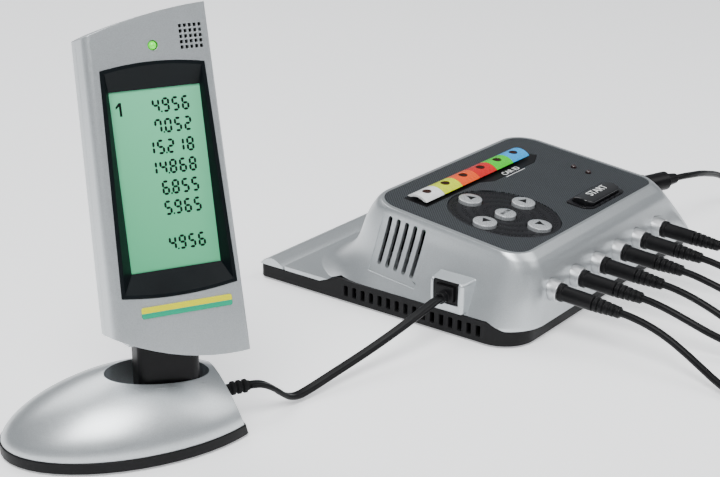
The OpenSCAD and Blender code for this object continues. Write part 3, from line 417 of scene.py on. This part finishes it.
def plan(x0, x1, y0, y1, r, parts=14, between=1):
    """A rectangle with its own radius at each corner: front left, front right, rear right, rear left."""
    corners = ((x0 + r[0], y0 + r[0], 180, r[0]), (x1 - r[1], y0 + r[1], 270, r[1]),
               (x1 - r[2], y1 - r[2], 0, r[2]), (x0 + r[3], y1 - r[3], 90, r[3]))
    turns = [[(cx + rr * cos(radians(a + 90 * k / parts)), cy + rr * sin(radians(a + 90 * k / parts)))
              for k in range(parts + 1)] for cx, cy, a, rr in corners]
    outline = []
    for turn, following in zip(turns, turns[1:] + turns[:1]):
        (ax, ay), (bx, by) = turn[-1], following[0]
        outline += turn + [(ax + (bx - ax) * k / between, ay + (by - ay) * k / between) for k in range(1, between)]
    return outline


def hood(name, inset, drop):
    """The hood's outer form, or the same form drawn in by a wall."""
    rings = []
    levels = [hood_levels[0]] + [tuple(v) for v in smooth_levels]
    for height, slope, side, front, rear in levels:
        corner = [max(2, rim_r[k] + (foot_r[k] - rim_r[k]) * max(0, side) - inset) for k in range(4)]
        outline = plan(rim_box[0] + (foot_box[0] - rim_box[0]) * side + inset,
                       rim_box[1] + (foot_box[1] - rim_box[1]) * side - inset,
                       rim_box[2] + (foot_box[2] - rim_box[2]) * front + inset,
                       rim_box[3] + (foot_box[3] - rim_box[3]) * rear - inset, corner, between=14)
        down = drop if height > 9.6 else (2 if inset and height < 6 else 0)
        rings.append([(x, y, height - down + slope * sin(radians(6.6)) / cos(radians(6.6)) * (y + 66))
                      for x, y in outline])
    return loft(name, rings)


smooth_levels = []
for k in range(1, len(hood_levels) - 1):
    quad = [hood_levels[max(k - 1, 1)], hood_levels[k], hood_levels[k + 1], hood_levels[min(k + 2, 7)]]
    for step in range(6):
        t = step / 6
        smooth_levels.append([0.5 * (2 * b + (c - a) * t + (2 * a - 5 * b + 4 * c - d) * t * t
                                     + (3 * b - a - 3 * c + d) * t ** 3) for a, b, c, d in zip(*quad)])
smooth_levels.append(list(hood_levels[7]))


def slab(name, outline, z0, z1):
    """An outline extruded from one height to another."""
    return loft(name, [[(x, y, z0) for x, y in outline], [(x, y, z1) for x, y in outline]])


def cut(piece, tool, how="DIFFERENCE"):
    """Joins, cuts or trims a piece with a tool, which is used up."""
    choose(piece)
    step = piece.modifiers.new("cut", "BOOLEAN")
    step.operation, step.object, step.solver = how, tool, "EXACT"
    bpy.ops.object.modifier_apply(modifier="cut")
    bpy.data.objects.remove(tool)
    return piece


def turned(piece, frame_of):
    piece.data.transform(frame_of)
    return piece


def rod(name, r, z0, z1, sides=40):
    """A round bar along z, with no finish of its own: a tool to cut with or a blank to shape."""
    bpy.ops.object.select_all(action="DESELECT")
    bpy.ops.mesh.primitive_cylinder_add(vertices=sides, radius=r, depth=z1 - z0, location=(0, 0, (z0 + z1) / 2))
    bpy.ops.object.transform_apply(location=True)
    bpy.context.object.name = name
    return bpy.context.object


def block(name, low, high):
    bpy.ops.object.select_all(action="DESELECT")
    bpy.ops.mesh.primitive_cube_add(size=1, location=[(a + b) / 2 for a, b in zip(low, high)],
                                    scale=[b - a for a, b in zip(low, high)])
    bpy.ops.object.transform_apply(location=True, scale=True)
    bpy.context.object.name = name
    return bpy.context.object


def round_edges(piece, width, angle=38, segments=3):
    choose(piece)
    step = piece.modifiers.new("ease", "BEVEL")
    step.width, step.segments, step.limit_method, step.angle_limit = width, segments, "ANGLE", radians(angle)
    step.use_clamp_overlap, step.miter_outer = False, "MITER_ARC"
    bpy.ops.object.modifier_apply(modifier="ease")
    return piece


def rounded_slot(name, length, width, depth):
    """A long hole with round ends, cut straight through along z."""
    r, half = width / 2, (length - width) / 2
    outline = [(r * cos(radians(a)), r * sin(radians(a)) + half) for a in range(0, 181, 15)]
    outline += [(r * cos(radians(a)), r * sin(radians(a)) - half) for a in range(180, 361, 15)]
    return slab(name, outline, -depth / 2, depth / 2)


in_mm = Matrix.Diagonal((1 / MM, 1 / MM, 1 / MM, 1)) @ panel_frame @ Matrix.Diagonal((MM, MM, MM, 1))
shell = hood("hood", 0, 0)
ledge = slab("ledge", plan(-87.5, 87.5, 10, 58.4, (1, 1, 1, 1), 2), 5, 9.5)
cut(shell, ledge, "UNION")
boss = block("link_boss", (-89.6, -46.8, 12), (-74, -29.2, 28.4))
for corner in boss.data.vertices:
    if corner.co.x < -80 and corner.co.z > 20:
        corner.co.z -= 1.6
    if corner.co.x > -80:
        corner.co.y += 1.5 if corner.co.y > -38 else -3.5
cut(shell, round_edges(boss, 1.5, 30, 4), "UNION")
cut(shell, hood("inside", 2.2, 2.2))
cut(shell, slab("ledge_inside", plan(-85.3, 85.3, -10, 56.3, (1, 1, 1, 1), 2), 4, 7.7))
panel_r = (9, 8, 12, 14)
seat = slab("seat", plan(-64.1, 64.1, -0.1, 81.1, [r + 0.1 for r in panel_r]), -1.7, 9)
cut(shell, turned(seat, in_mm))
window = slab("window", plan(-60, 60, 4, 77, [r - 4 for r in panel_r]), -20, 10)
cut(shell, turned(window, in_mm))
below = [(-400, -5), (-400, 8), (-66, 8), (-58, 11.5), (26, 11.5), (36, 7.5), (400, 7.5), (400, -5)]
skirt = loft("skirt", [[(x, y, z) for y, z in below] for x in (-200, 200)])
cut(shell, skirt)
wall_turn = Matrix.Rotation(pi / 2, 4, "Z") @ Matrix.Rotation(pi / 2, 4, "X")
vent_plate = slab("vent_plate", [(-11.2, -16.5), (16.4, -14), (12.2, 13.3), (-15, 10.2)], -14, 14)
turned(vent_plate, Matrix.Translation((-79.5, -6.4, 32.5)) @ wall_turn)
cut(vent_plate, hood("vent_floor", 0.4, 0.2))
cut(shell, vent_plate)
for k in range(-2, 3):
    place = Matrix.Translation((-79.5, -6.4 - 4.7 * k, 32.5 - 0.544 * k))
    lean = place @ wall_turn @ Matrix.Rotation(radians(8), 4, "Z")
    cut(shell, turned(rounded_slot("vent_slot", 23, 2.2, 26), lean))
for k in range(6):
    jack = Matrix.Translation((-60 + 20 * k, -79.3, 22.4)) @ Matrix.Rotation(radians(94), 4, "X")
    cut(shell, turned(rod("jack_hole", 5, -12, 8), jack))
cut(shell, block("link_opening", (-120, -44.7, 16.1), (-69, -31.3, 26.7)))
dc_frame = Matrix.Translation((65, -50, 31)) @ Matrix.Rotation(radians(-20), 4, "Z") @ Matrix.Rotation(pi / 2, 4, "Y")
cut(shell, turned(rod("dc_hole", 5.7, -12, 28), dc_frame))
round_edges(shell, 0.16, 42, 2)
done(shell, case_silver, "base", "top_shell", angle=32, slot="silver_case")

# A narrow rounded strip caps the edge of the ledge that a track section butts against.
done(eased("track_strip", "track_edge_strip", 0.3), case_silver, "base", "track_edge_strip", angle=30,
     slot="silver_case")

# The control panel: a plate behind a graphic film with a printed carbon-fibre twill,
# lying in the shell's seat. Its cut-outs leave room for the keys.
panel_film = Finish("panel_film", (0.028, 0.031, 0.034), 0.48, specular=0.1)
spot = panel_film.place(panel_frame)
px, py, pz = panel_film.axes(spot)
cell = 0.75
column, row = (px / cell).sum("FLOOR", px / cell), (py / cell).sum("FLOOR", py / cell)
over_under = (column + row).wrap(2.0).under(0.5)
fibre = ((px * over_under + py * (1 - over_under)) * 9.0).sum("SINE", (px * over_under + py * (1 - over_under)) * 9.0)
crown = (((px / cell).wrap(1.0) - 0.5).size() * (1 - over_under) + ((py / cell).wrap(1.0) - 0.5).size() * over_under)
panel_film.drive("Base Color", panel_film.shade(over_under * 0.75 + (0.5 - crown) * 0.4 + fibre * 0.06, 0.1, 2.6))
panel_film.drive("Roughness", 0.42 + over_under * 0.14 + panel_film.noise(spot, 0.08) * 0.06)
panel_film.raise_by((0.5 - crown) + fibre * 0.04, 0.04)
done(eased("twill_panel", "control_panel", 0.2), panel_film, "base", "control_panel", slot="panel_film")

# The black zones round the keys are plates of their own: a satin black one under the
# car keys and an oval one with shallow rings round the arrow keys.
zone_black = soft_black("zone_black", (0.010, 0.010, 0.011), 0.30, 1.6, 0.02)
done(eased("car_key_zone", "car_key_surround", 0.25), zone_black, "base", "car_key_surround", slot="black_case")
pad_black = Finish("pad_black", (0.005, 0.005, 0.006), 0.27, specular=0.25)
pad_frame = panel_frame @ Matrix.Translation(Vector((-29.4, 30, 0)) * MM)
spot = pad_black.place(pad_frame)
px, py, pz = pad_black.axes(spot)
ring_way = (px * px / 0.79 + py * py) ** 0.5
rings = (ring_way * 2 * pi / 5.2).sum("SINE", ring_way * 2 * pi / 5.2)
grain = pad_black.noise(spot, 1.5, 3.0)
pad_black.drive("Roughness", 0.22 + grain * 0.10 + rings.over(0.0) * 0.10)
pad_black.drive("Base Color", pad_black.shade(rings.over(0.0) * 0.5 + grain * 0.4, 0.7, 1.9))
pad_black.raise_by(rings * 0.5 + 0.5, 0.12)
done(eased("key_pad", "keypad_surround", 0.3), pad_black, "base", "keypad_surround", slot="black_case")

# Six car keys in gloss ABS, each a shallow arch moulded in its car's colour, with a
# dark oval pit for the fingertip.
key_paints = (("white", (0.80, 0.81, 0.80)), ("yellow", (0.62, 0.72, 0.0)), ("orange", (0.85, 0.08, 0.0)),
              ("red", (0.60, 0.003, 0.003)), ("green", (0.03, 0.62, 0.005)), ("cyan", (0.005, 0.34, 0.80)))
pit_brown = soft_black("pit_brown", (0.045, 0.014, 0.008), 0.35, 1.2, 0.02)


def oval(x, y, half_x, half_y, parts=40):
    return [(x + half_x * cos(2 * pi * k / parts), y + half_y * sin(2 * pi * k / parts)) for k in range(parts)]


for number, (colour, rgb) in enumerate(key_paints):
    paint = Finish("key_" + colour, rgb, 0.26, coat=0.4, coat_roughness=0.08)
    spot = paint.place()
    haze = paint.noise(spot, 0.35, 3.0)
    paint.drive("Base Color", paint.shade(haze, 0.93, 1.06))
    paint.drive("Roughness", 0.20 + haze * 0.14)
    paint.raise_by(paint.noise(spot, 2.4, 2.0), 0.012)
    node, body = "car_key_%d" % (number + 1), "car_key_%d_cap" % (number + 1)
    middle = (number - 2.5) * 15.2 - 5.4
    key = eased("car_key_" + colour, node, 0)
    pit = turned(slab("pit_tool", oval(middle, 65, 2.7, 2.1), 2.9, 9), in_mm)
    round_edges(cut(key, pit), 0.09, 30, 2)
    done(key, paint, body, node, slot="key_" + colour)
    floor = loft("car_key_pit_" + colour, [[(x, y, z) for x, y in oval(middle, 65, 2.68 * s, 2.08 * s)]
                                           for s, z in ((1, 2.9), (1, 3.22), (0.85, 3.12), (0.45, 2.97), (0.1, 2.93))])
    done(floor, pit_brown, body, frame_of=panel_frame, slot="black_case", angle=60)

# Four arrow keys and the ENTER key: domed buttons under silver lacquer, with their
# marks printed on in black.
key_silver = flake_silver("key_silver", (0.50, 0.52, 0.535), 0.30, 0.5)
print_black = soft_black("print_black", (0.012, 0.012, 0.013), 0.4, 3.0, 0.005)
arrow_spots = {"up": (0, 19.2, 0), "down": (0, -19.2, 180), "left": (-16.7, 0, 90), "right": (16.7, 0, 270)}


def printed(name, outlines, frame_of, finish, body, top=0.05, slot="key_black"):
    """Ink that stands a hair proud of the face it is printed on."""
    points, faces = [], []
    for outline in outlines:
        first, n = len(points), len(outline)
        points += [(x, y, z) for z in (0, top) for x, y in outline]
        faces += [tuple(first + n + k for k in range(n)), tuple(first + k for k in range(n - 1, -1, -1))]
        faces += [(first + k, first + (k + 1) % n, first + n + (k + 1) % n, first + n + k) for k in range(n)]
    mesh = bpy.data.meshes.new(name)
    mesh.from_pydata(points, [], faces)
    piece = bpy.data.objects.new(name, mesh)
    bpy.context.collection.objects.link(piece)
    return done(piece, finish, body, frame_of=frame_of, slot=slot)


for way, (dx, dy, turn) in arrow_spots.items():
    node = way + "_key"
    done(eased("arrow_" + node, node, 0.3, 30, 3), key_silver, node + "_cap", node, slot="key_silver", angle=50)
    spot_frame = pad_frame @ Matrix.Translation(Vector((dx, dy, 1.3)) * MM) @ Matrix.Rotation(radians(turn), 4, "Z")
    printed("arrow_mark_" + way, [[(-2.2, -1.6), (2.2, -1.6), (0, 2.4)]], spot_frame, print_black,
            node + "_cap", 0.23)
done(eased("enter_button", "enter_key", 0.3, 30, 3), key_silver, "enter_key_cap", "enter_key",
     slot="key_silver", angle=50)


def lettering(name, words, size, frame_of, finish, body, depth, crown=0, slot="key_black"):
    """A plain function word, cut as thin ink."""
    bpy.ops.object.select_all(action="DESELECT")
    bpy.ops.object.text_add()
    word = bpy.context.object
    word.name = name
    word.data.body, word.data.size, word.data.extrude = words, size, depth
    word.data.align_x, word.data.align_y = "CENTER", "CENTER"
    bpy.ops.object.convert(target="MESH")
    word = bpy.context.object
    if crown:
        bpy.ops.object.mode_set(mode="EDIT")
        for y in (-2, -1.2, -0.4, 0.4, 1.2, 2):
            bpy.ops.mesh.select_all(action="SELECT")
            bpy.ops.mesh.bisect(plane_co=(0, y, 0), plane_no=(0, 1, 0))
        bpy.ops.object.mode_set(mode="OBJECT")
        for corner in word.data.vertices:
            corner.co.z -= crown - (crown ** 2 - corner.co.y ** 2) ** 0.5
    return done(word, finish, body, frame_of=frame_of, slot=slot)


enter_frame = pad_frame @ Matrix.Translation(Vector((-1.4, -1.4, 1.47)) * MM)
lettering("enter_word", "ENTER", 2.3, enter_frame, print_black, "enter_key_cap", 0.06)

# The START key: a glossy black bar key with the word in white, in a framed recess.
key_black = Finish("key_black", (0.005, 0.005, 0.006), 0.14, coat=0.5, coat_roughness=0.06)
spot = key_black.place()
wear = key_black.noise(spot, 0.25, 3.0)
key_black.drive("Base Color", key_black.shade(wear, 0.7, 1.4))
key_black.drive("Roughness", 0.10 + wear * 0.10)
key_black.raise_by(key_black.noise(spot, 1.5), 0.006)
ink_white = Finish("ink_white", (0.82, 0.83, 0.82), 0.4)
spot = ink_white.place()
ink_white.drive("Base Color", ink_white.shade(ink_white.noise(spot, 2.0, 3.0), 0.9, 1.1))
ink_white.raise_by(ink_white.noise(spot, 4.0), 0.004)
done(eased("start_button", "start_key", 0.5, 30, 3), key_black, "start_key_cap", "start_key",
     slot="key_black", angle=50)
start_frame = panel_frame @ Matrix.Translation(Vector((22.5, 10.4, 3.4)) * MM)
lettering("start_word", "START", 5.6, start_frame, ink_white, "start_key_cap", 0.05, crown=12)
label_frame = panel_frame @ Matrix.Translation(Vector((17.5, 56.2, 0.02)) * MM)
lettering("car_word", "CAR ID", 4.4, label_frame, ink_white, "base", 0.04)
printed("car_rule", [[(-8.5, -0.16), (8.5, -0.16), (8.5, 0.16), (-8.5, 0.16)]],
        label_frame @ Matrix.Translation(Vector((0, -2.9, 0)) * MM), ink_white, "base")

# Two small status lights under the film, dark red lenses while unlit.
lens_red = Finish("lens_red", (0.012, 0.001, 0.001), 0.10, coat=0.25, coat_roughness=0.03)
spot = lens_red.place()
lens_red.drive("Base Color", lens_red.shade(lens_red.noise(spot, 1.2), 0.6, 1.6))
lens_red.raise_by(lens_red.noise(spot, 3.0), 0.004)
finish_node(lens_red, "status_lights")

# Six hand-controller sockets with nickel-plated collars, lathe-turned and lightly brushed.
nickel = Finish("nickel", (0.66, 0.67, 0.68), 0.34, 0.9)
spot = nickel.place()
brush = nickel.noise(nickel.node("ShaderNodeMapping", {"Vector": spot, "Scale": (0.2, 3.0, 0.2)}), 1.4, 4.0)
nickel.drive("Roughness", 0.33 + brush * 0.04)
nickel.drive("Base Color", nickel.shade(brush, 0.95, 1.05))
done(eased("socket_collars", "throttle_sockets", 0.3, 40, 2), nickel, "base", "throttle_sockets", slot="socket_metal")

# The link socket and its modular plug sit in the wedge on the left wall.
done(eased("link_jack", "link_socket", 0.2), black_case, "base", "link_socket", slot="black_case")
done(eased("link_modular_plug", "link_plug", 0.3), plug_black, "base", "link_plug", slot="plug_black")

# The DC socket on the right wall, its plug and the mains adaptor are black mouldings.
done(eased("dc_jack", "dc_socket", 0.3), black_case, "base", "dc_socket", slot="black_case")
done(eased("dc_barrel_plug", "dc_plug", 0.5, 40, 3), plug_black, "base", "dc_plug", slot="plug_black")
done(eased("mains_adaptor", "power_adaptor", 1.2, 40, 4), black_case, "base", "power_adaptor", slot="black_case")

# Inside the base: the circuit board with its green mask and copper traces, the key
# switches, an aluminium heat sink and zinc-plated screws.
board_green = Finish("board_green", (0.012, 0.10, 0.04), 0.28, coat=0.3)
spot = board_green.place()
bx = board_green.axes(spot)[0]
traces = ((bx / 2.6).wrap(1.0) - 0.5).size().under(0.16) * board_green.noise(spot, 0.12).over(0.5)
board_green.drive("Base Color", board_green.mix(traces, (0.012, 0.10, 0.04, 1), (0.04, 0.20, 0.07, 1)))
board_green.raise_by(traces, 0.035)
finish_node(board_green, "main_board", "display_board")
finish_node(soft_black("switch_black", (0.03, 0.03, 0.032), 0.4, 2.0, 0.01), "key_switches")
fin_metal = Finish("fin_metal", (0.55, 0.56, 0.58), 0.4, 1.0)
spot = fin_metal.place()
drawn = fin_metal.noise(fin_metal.node("ShaderNodeMapping", {"Vector": spot, "Scale": (2.0, 2.0, 0.1)}), 1.5, 3.0)
fin_metal.drive("Roughness", 0.3 + drawn * 0.2)
fin_metal.drive("Base Color", fin_metal.shade(drawn, 0.85, 1.1))
finish_node(fin_metal, "heat_sink")
zinc = Finish("zinc", (0.58, 0.59, 0.60), 0.32, 1.0)
spot = zinc.place()
cloud = zinc.noise(spot, 0.8, 3.0)
zinc.drive("Roughness", 0.25 + cloud * 0.2)
zinc.drive("Base Color", zinc.shade(cloud, 0.85, 1.1))
finish_node(zinc, "case_screws", "head_screws", "tilt_pin")
iron = Finish("cast_weight", (0.16, 0.16, 0.165), 0.6, 0.8)
spot = iron.place()
sand = iron.noise(spot, 0.9, 4.0, 0.7)
iron.drive("Base Color", iron.shade(sand, 0.6, 1.3))
iron.drive("Roughness", 0.5 + sand * 0.25)
iron.raise_by(sand, 0.25)
finish_node(iron, "stand_weight")

# The stand: a silver dome over a black base, cut off slanting at its right end. An oval
# well in the dome takes the neck.
stand_frame = Matrix.Translation(Vector((-226, 3, 0)) * MM) @ Matrix.Rotation(radians(-28.7), 4, "Z")


dome_middle, dome_long, dome_wide, dome_foot, dome_tall, dome_lean, dome_curve = -11, 52.5, 32, 5.5, 24.5, -2.5, 1.25


def dome(name, inset, lift):
    """The dome's skin, drawn in by inset and raised by lift. Its top leans to the front."""
    rings = [[(x, y, dome_foot + lift) for x, y in
              oval(dome_middle, 0, dome_long - inset, dome_wide - inset, 96)]]
    for k in range(1, 25):
        a = radians(86 * (k / 24) ** 0.9)
        share, z = cos(a) ** dome_curve, dome_foot + (dome_tall - inset) * sin(a) ** dome_curve
        rings.append([(x, y, z + lift) for x, y in
                      oval(dome_middle, dome_lean * sin(a), (dome_long - inset) * share,
                           (dome_wide - inset) * share, 96)])
    return loft(name, rings)


def before_end(inset):
    """A block that reaches up to the slanting cut at the stand's right end."""
    return turned(block("end", (-300, -150, -50), (0, 150, 150)),
                  Matrix.Translation((27.5 - inset, 0, 0)) @ Matrix.Rotation(radians(-16), 4, "Y"))


cover = cut(dome("stand_dome", 0, 0), before_end(0), "INTERSECT")
core = cut(dome("core", 2, -0.5), before_end(2), "INTERSECT")
well_x, well_y, well_long, well_wide, wall = -2.8, -4.6, 20.7, 10.6, 2
well = slab("well", oval(well_x, well_y, well_long, well_wide, 72), 16, 60)
well_wall = cut(slab("well_wall", oval(well_x, well_y, well_long + wall, well_wide + wall, 72), 14, 60),
                dome("cap", 0, 0), "INTERSECT")
cut(cover, core)
cut(cover, well_wall, "UNION")
cut(cover, well)
cord_way = Matrix.Translation((24.4, -8, 14.5)) @ Matrix.Rotation(pi / 2, 4, "Y")
cut(cover, turned(rod("grommet_hole", 2.1, -10, 10), cord_way))
round_edges(cover, 0.12, 40, 2)
done(cover, case_silver, "base", "stand_cover", frame_of=stand_frame, angle=34, slot="silver_case")
done(eased("stand_foot", "stand_base", 0.4), black_case, "base", "stand_base", slot="black_case")
done(eased("stand_neck", "neck", 0.5, 50, 3), black_case, "base", "neck", angle=30, slot="black_case")
done(eased("strain_relief", "cord_grommet", 0.3, 40, 3), rubber, "base", "cord_grommet", slot="black_rubber")

# The display head: two silver ABS shells screwed together from behind, a flat face
# with a round left edge and a back that falls away to the right. Black cloth backs the grille.
head_frame = stand_frame @ Matrix.Translation(Vector((4.1, -14.5, 72)) * MM) @ Matrix.Rotation(radians(-15.6), 4, "X")


face = eased("display_face", "head_front_case", 0.15, 40)
done(face, case_silver, "display_head", "head_front_case", angle=30, slot="silver_case")
back = eased("display_back", "head_back_case", 0.15, 40)
done(back, case_silver, "display_head", "head_back_case", angle=30, slot="silver_case")
grille_cloth = soft_black("grille_cloth", (0.008, 0.008, 0.008), 0.9, 2.0, 0.1)
cloth = block("speaker_cloth", (9.9, -2.15, 78.9), (20.1, -1.6, 89.5))
done(round_edges(cloth, 0.15, 40, 2), grille_cloth, "display_head", frame_of=head_frame, slot="black_case")

# The bezel: one slate-grey moulding whose walls slope in from the face to the glass.
slate = soft_black("slate", (0.005, 0.008, 0.010), 0.36, 1.3, 0.02)
bezel_middle, foot_half, top_half, foot_z, top_z, bow = -0.6, 22.1, 19.6, -8, 74.5, 1.8


def bezel_outline(grow):
    """The bezel's edge, seen from the front: narrower at the top, with bowed ends."""
    half = [k / 12 for k in range(-12, 13)]
    foot = [(bezel_middle + (foot_half + grow) * t, foot_z - grow - bow * (1 - t * t)) for t in half]
    top = [(bezel_middle + (top_half + grow) * t, top_z + grow + bow * (1 - t * t)) for t in reversed(half)]
    return foot + top


sides = [k / 12 for k in range(-12, 13)]
glass = [(17.2 * t, 0) for t in sides] + [(17.2 * t, 66.6) for t in reversed(sides)]
rings = [[(x, -0.05, z) for x, z in bezel_outline(0)], [(x, -4.1, z) for x, z in bezel_outline(0)],
         [(x, -4.4, z) for x, z in bezel_outline(-0.25)], [(x, -4.4, z) for x, z in bezel_outline(-1.2)],
         [(x, -4.1, z) for x, z in bezel_outline(-1.55)], [(x, -0.5, z) for x, z in glass],
         [(x, -0.05, z) for x, z in glass]]
bezel = loft("screen_surround", rings + rings[:1], closed_ends=False)
choose(bezel)
bpy.ops.object.mode_set(mode="EDIT")
bpy.ops.mesh.select_all(action="SELECT")
bpy.ops.mesh.remove_doubles(threshold=0.001)
bpy.ops.mesh.normals_make_consistent(inside=False)
bpy.ops.object.mode_set(mode="OBJECT")
done(bezel, slate, "display_head", "screen_bezel", frame_of=head_frame, angle=35, slot="bezel_slate")

# The display: pale green reflective glass, with seven-segment lap times in dark ink. Its green is painted darker at
# the bottom and lighter towards the top and right, as painted shade and painted reflection.
lcd = Finish("lcd_glass", (0.42, 0.68, 0.54), 0.35, specular=0.12)
spot = lcd.place(head_frame)
lx, _, lz = lcd.axes(spot)
# Painted shade and painted reflection: the glass's green runs from darker at the bottom left to lighter at the top
# right.
painted_glare_ramp = (lz * 0.0075 + lx * 0.004 + 0.22)
lcd.drive("Base Color", lcd.mix(painted_glare_ramp, (0.06, 0.36, 0.17, 1), (0.16, 0.55, 0.32, 1)))
lcd.drive("Roughness", 0.2 + lcd.noise(spot, 0.05) * 0.08)
lcd.raise_by(lcd.noise(spot, 3.0), 0.002)
finish_node(lcd, "lcd_panel")
lcd_ink = soft_black("lcd_ink", (0.002, 0.006, 0.005), 0.7, 2.0, 0.003)
digit_w, digit_h, stroke = 2.9, 5.4, 0.86
lit = {"0": "abcdef", "1": "bc", "2": "abged", "4": "fgbc", "5": "afgcd", "6": "afgcde", "7": "abcf", "8": "abcdefg",
       "9": "abcdfg"}


def bar(x0, z0, x1, z1):
    """One segment: a bar with pointed ends between two corners of a figure."""
    along = (Vector((x1, z1)) - Vector((x0, z0))).normalized()
    side = Vector((-along.y, along.x)) * stroke / 2
    a, b = Vector((x0, z0)) + along * 0.1, Vector((x1, z1)) - along * 0.1
    ends = [a, a + along * stroke / 2 - side, b - along * stroke / 2 - side, b, b - along * stroke / 2 + side,
            a + along * stroke / 2 + side]
    return [(p.x, p.y) for p in ends]


def figure(char, x, z):
    """The outlines of one lit figure whose lower left corner is at x, z."""
    w, h, m = digit_w - stroke, digit_h - stroke, (digit_h - stroke) / 2
    x, z = x + stroke / 2, z + stroke / 2
    bars = {"a": (0, h, w, h), "b": (w, h, w, m), "c": (w, m, w, 0), "d": (0, 0, w, 0), "e": (0, 0, 0, m),
            "f": (0, m, 0, h), "g": (0, m, w, m)}
    return [bar(x + bars[k][0], z + bars[k][1], x + bars[k][2], z + bars[k][3]) for k in lit[char]]


outlines = []
for middle, text in ((60.2, "4.956"), (52.6, "7.052"), (45, "15.218"), (37.5, "14.868"), (29.9, "6.855"),
                     (22.4, "5.965"), (9.2, "4.956")):
    x = 12.5 - digit_w
    for char in reversed(text):
        if char == ".":
            dot = x + digit_w + 0.55
            outlines.append([(dot - 0.3, middle - 2.6), (dot + 0.3, middle - 2.6), (dot + 0.3, middle - 2),
                             (dot - 0.3, middle - 2)])
        else:
            outlines += figure(char, x, middle - digit_h / 2)
            x -= 3.75
lane_mark = [(-13.9, 57.6), (-13.0, 57.6), (-13.0, 62.6), (-13.9, 62.6), (-15.2, 61.2), (-15.2, 60.3), (-13.9, 61.3)]
outlines.append(lane_mark)
face_frame = head_frame @ Matrix.Translation(Vector((0, -0.01, 0)) * MM) @ Matrix.Rotation(pi / 2, 4, "X")
printed("lap_times", outlines, face_frame, lcd_ink, "display_head", 0.03, "lcd")

# The lap light: a green lens in a clear collar, lit.
lens_green = Finish("lens_green", (0.10, 0.80, 0.03), 0.15, coat=0.5)
spot = lens_green.place()
glow = lens_green.noise(spot, 0.8)
lens_green.drive("Base Color", lens_green.shade(glow, 0.85, 1.15))
lens_green.shader.inputs["Emission Strength"].default_value = 0.6
lens_green.drive("Emission Color", lens_green.mix(glow, (0.0, 0.55, 0.0, 1), (0.06, 0.9, 0.0, 1)))
finish_node(lens_green, "lap_light")

# Below the screen a thin enamelled badge carries two plain stripes.
badge_frame = head_frame @ Matrix.Translation(Vector((0, -4, 0)) * MM) @ Matrix.Rotation(pi / 2, 4, "X")
badge_teal = Finish("badge_teal", (0.02, 0.42, 0.40), 0.25, coat=0.5)
spot = badge_teal.place(head_frame)
hz = badge_teal.axes(spot)[2]
badge_teal.drive("Base Color", badge_teal.mix((hz + 14.6).over(0.0), (0.0, 0.30, 0.16, 1), (0.62, 0.60, 0.0, 1)))
badge_teal.raise_by(badge_teal.noise(spot, 1.5), 0.004)
badge = slab("stripe_badge", plan(-16.2, 18.6, -16.6, -12.4, (0.8, 0.8, 0.8, 0.8), 5), 0, 0.4)
done(round_edges(badge, 0.12, 40, 2), badge_teal, "display_head", frame_of=badge_frame, slot="key_black")

# A plain pale floor that glows a little, a soft key light from the left, a fill from
# the right, one from behind and an even sky.
floor_paper = Finish("floor_paper", (0.90, 0.905, 0.91), 0.75, specular=0.2)
floor_paper.drive("Roughness", 0.7 + floor_paper.noise(floor_paper.place(), 0.01) * 0.1)
floor_paper.shader.inputs["Emission Color"].default_value = (0.97, 0.98, 1, 1)
floor_paper.shader.inputs["Emission Strength"].default_value = 0.5
bpy.ops.object.select_all(action="DESELECT")
bpy.ops.mesh.primitive_plane_add(size=8)
floor = bpy.context.object
floor.name = "floor"
floor.data.materials.append(floor_paper.material)
key_light, fill_light = ((-0.75, -0.35, 1.1), (34, 0, -65), 20, 0.7), ((0.5, -0.8, 0.9), (45, 0, 32), 6, 0.8)
rear_light = ((0.1, 0.9, 1.2), (-38, 0, -5), 11, 1.0)
for where, turn, energy, size in (key_light, fill_light, rear_light):
    bpy.ops.object.light_add(type="AREA", location=where, rotation=[radians(a) for a in turn])
    bpy.context.object.data.energy = energy
    bpy.context.object.data.size = size
sky = bpy.data.worlds.new("sky")
sky.use_nodes = True
nodes, links = sky.node_tree.nodes, sky.node_tree.links
way = nodes.new("ShaderNodeTexCoord")
split = nodes.new("ShaderNodeSeparateXYZ")
ramp = nodes.new("ShaderNodeMix")
ramp.data_type = "RGBA"
ramp.inputs[6].default_value, ramp.inputs[7].default_value = (0.22, 0.25, 0.28, 1), (0.95, 0.97, 1, 1)
links.new(way.outputs["Generated"], split.inputs[0])
links.new(split.outputs[2], ramp.inputs[0])
links.new(ramp.outputs[2], nodes["Background"].inputs["Color"])
nodes["Background"].inputs["Strength"].default_value = 0.5
bpy.context.scene.world = sky
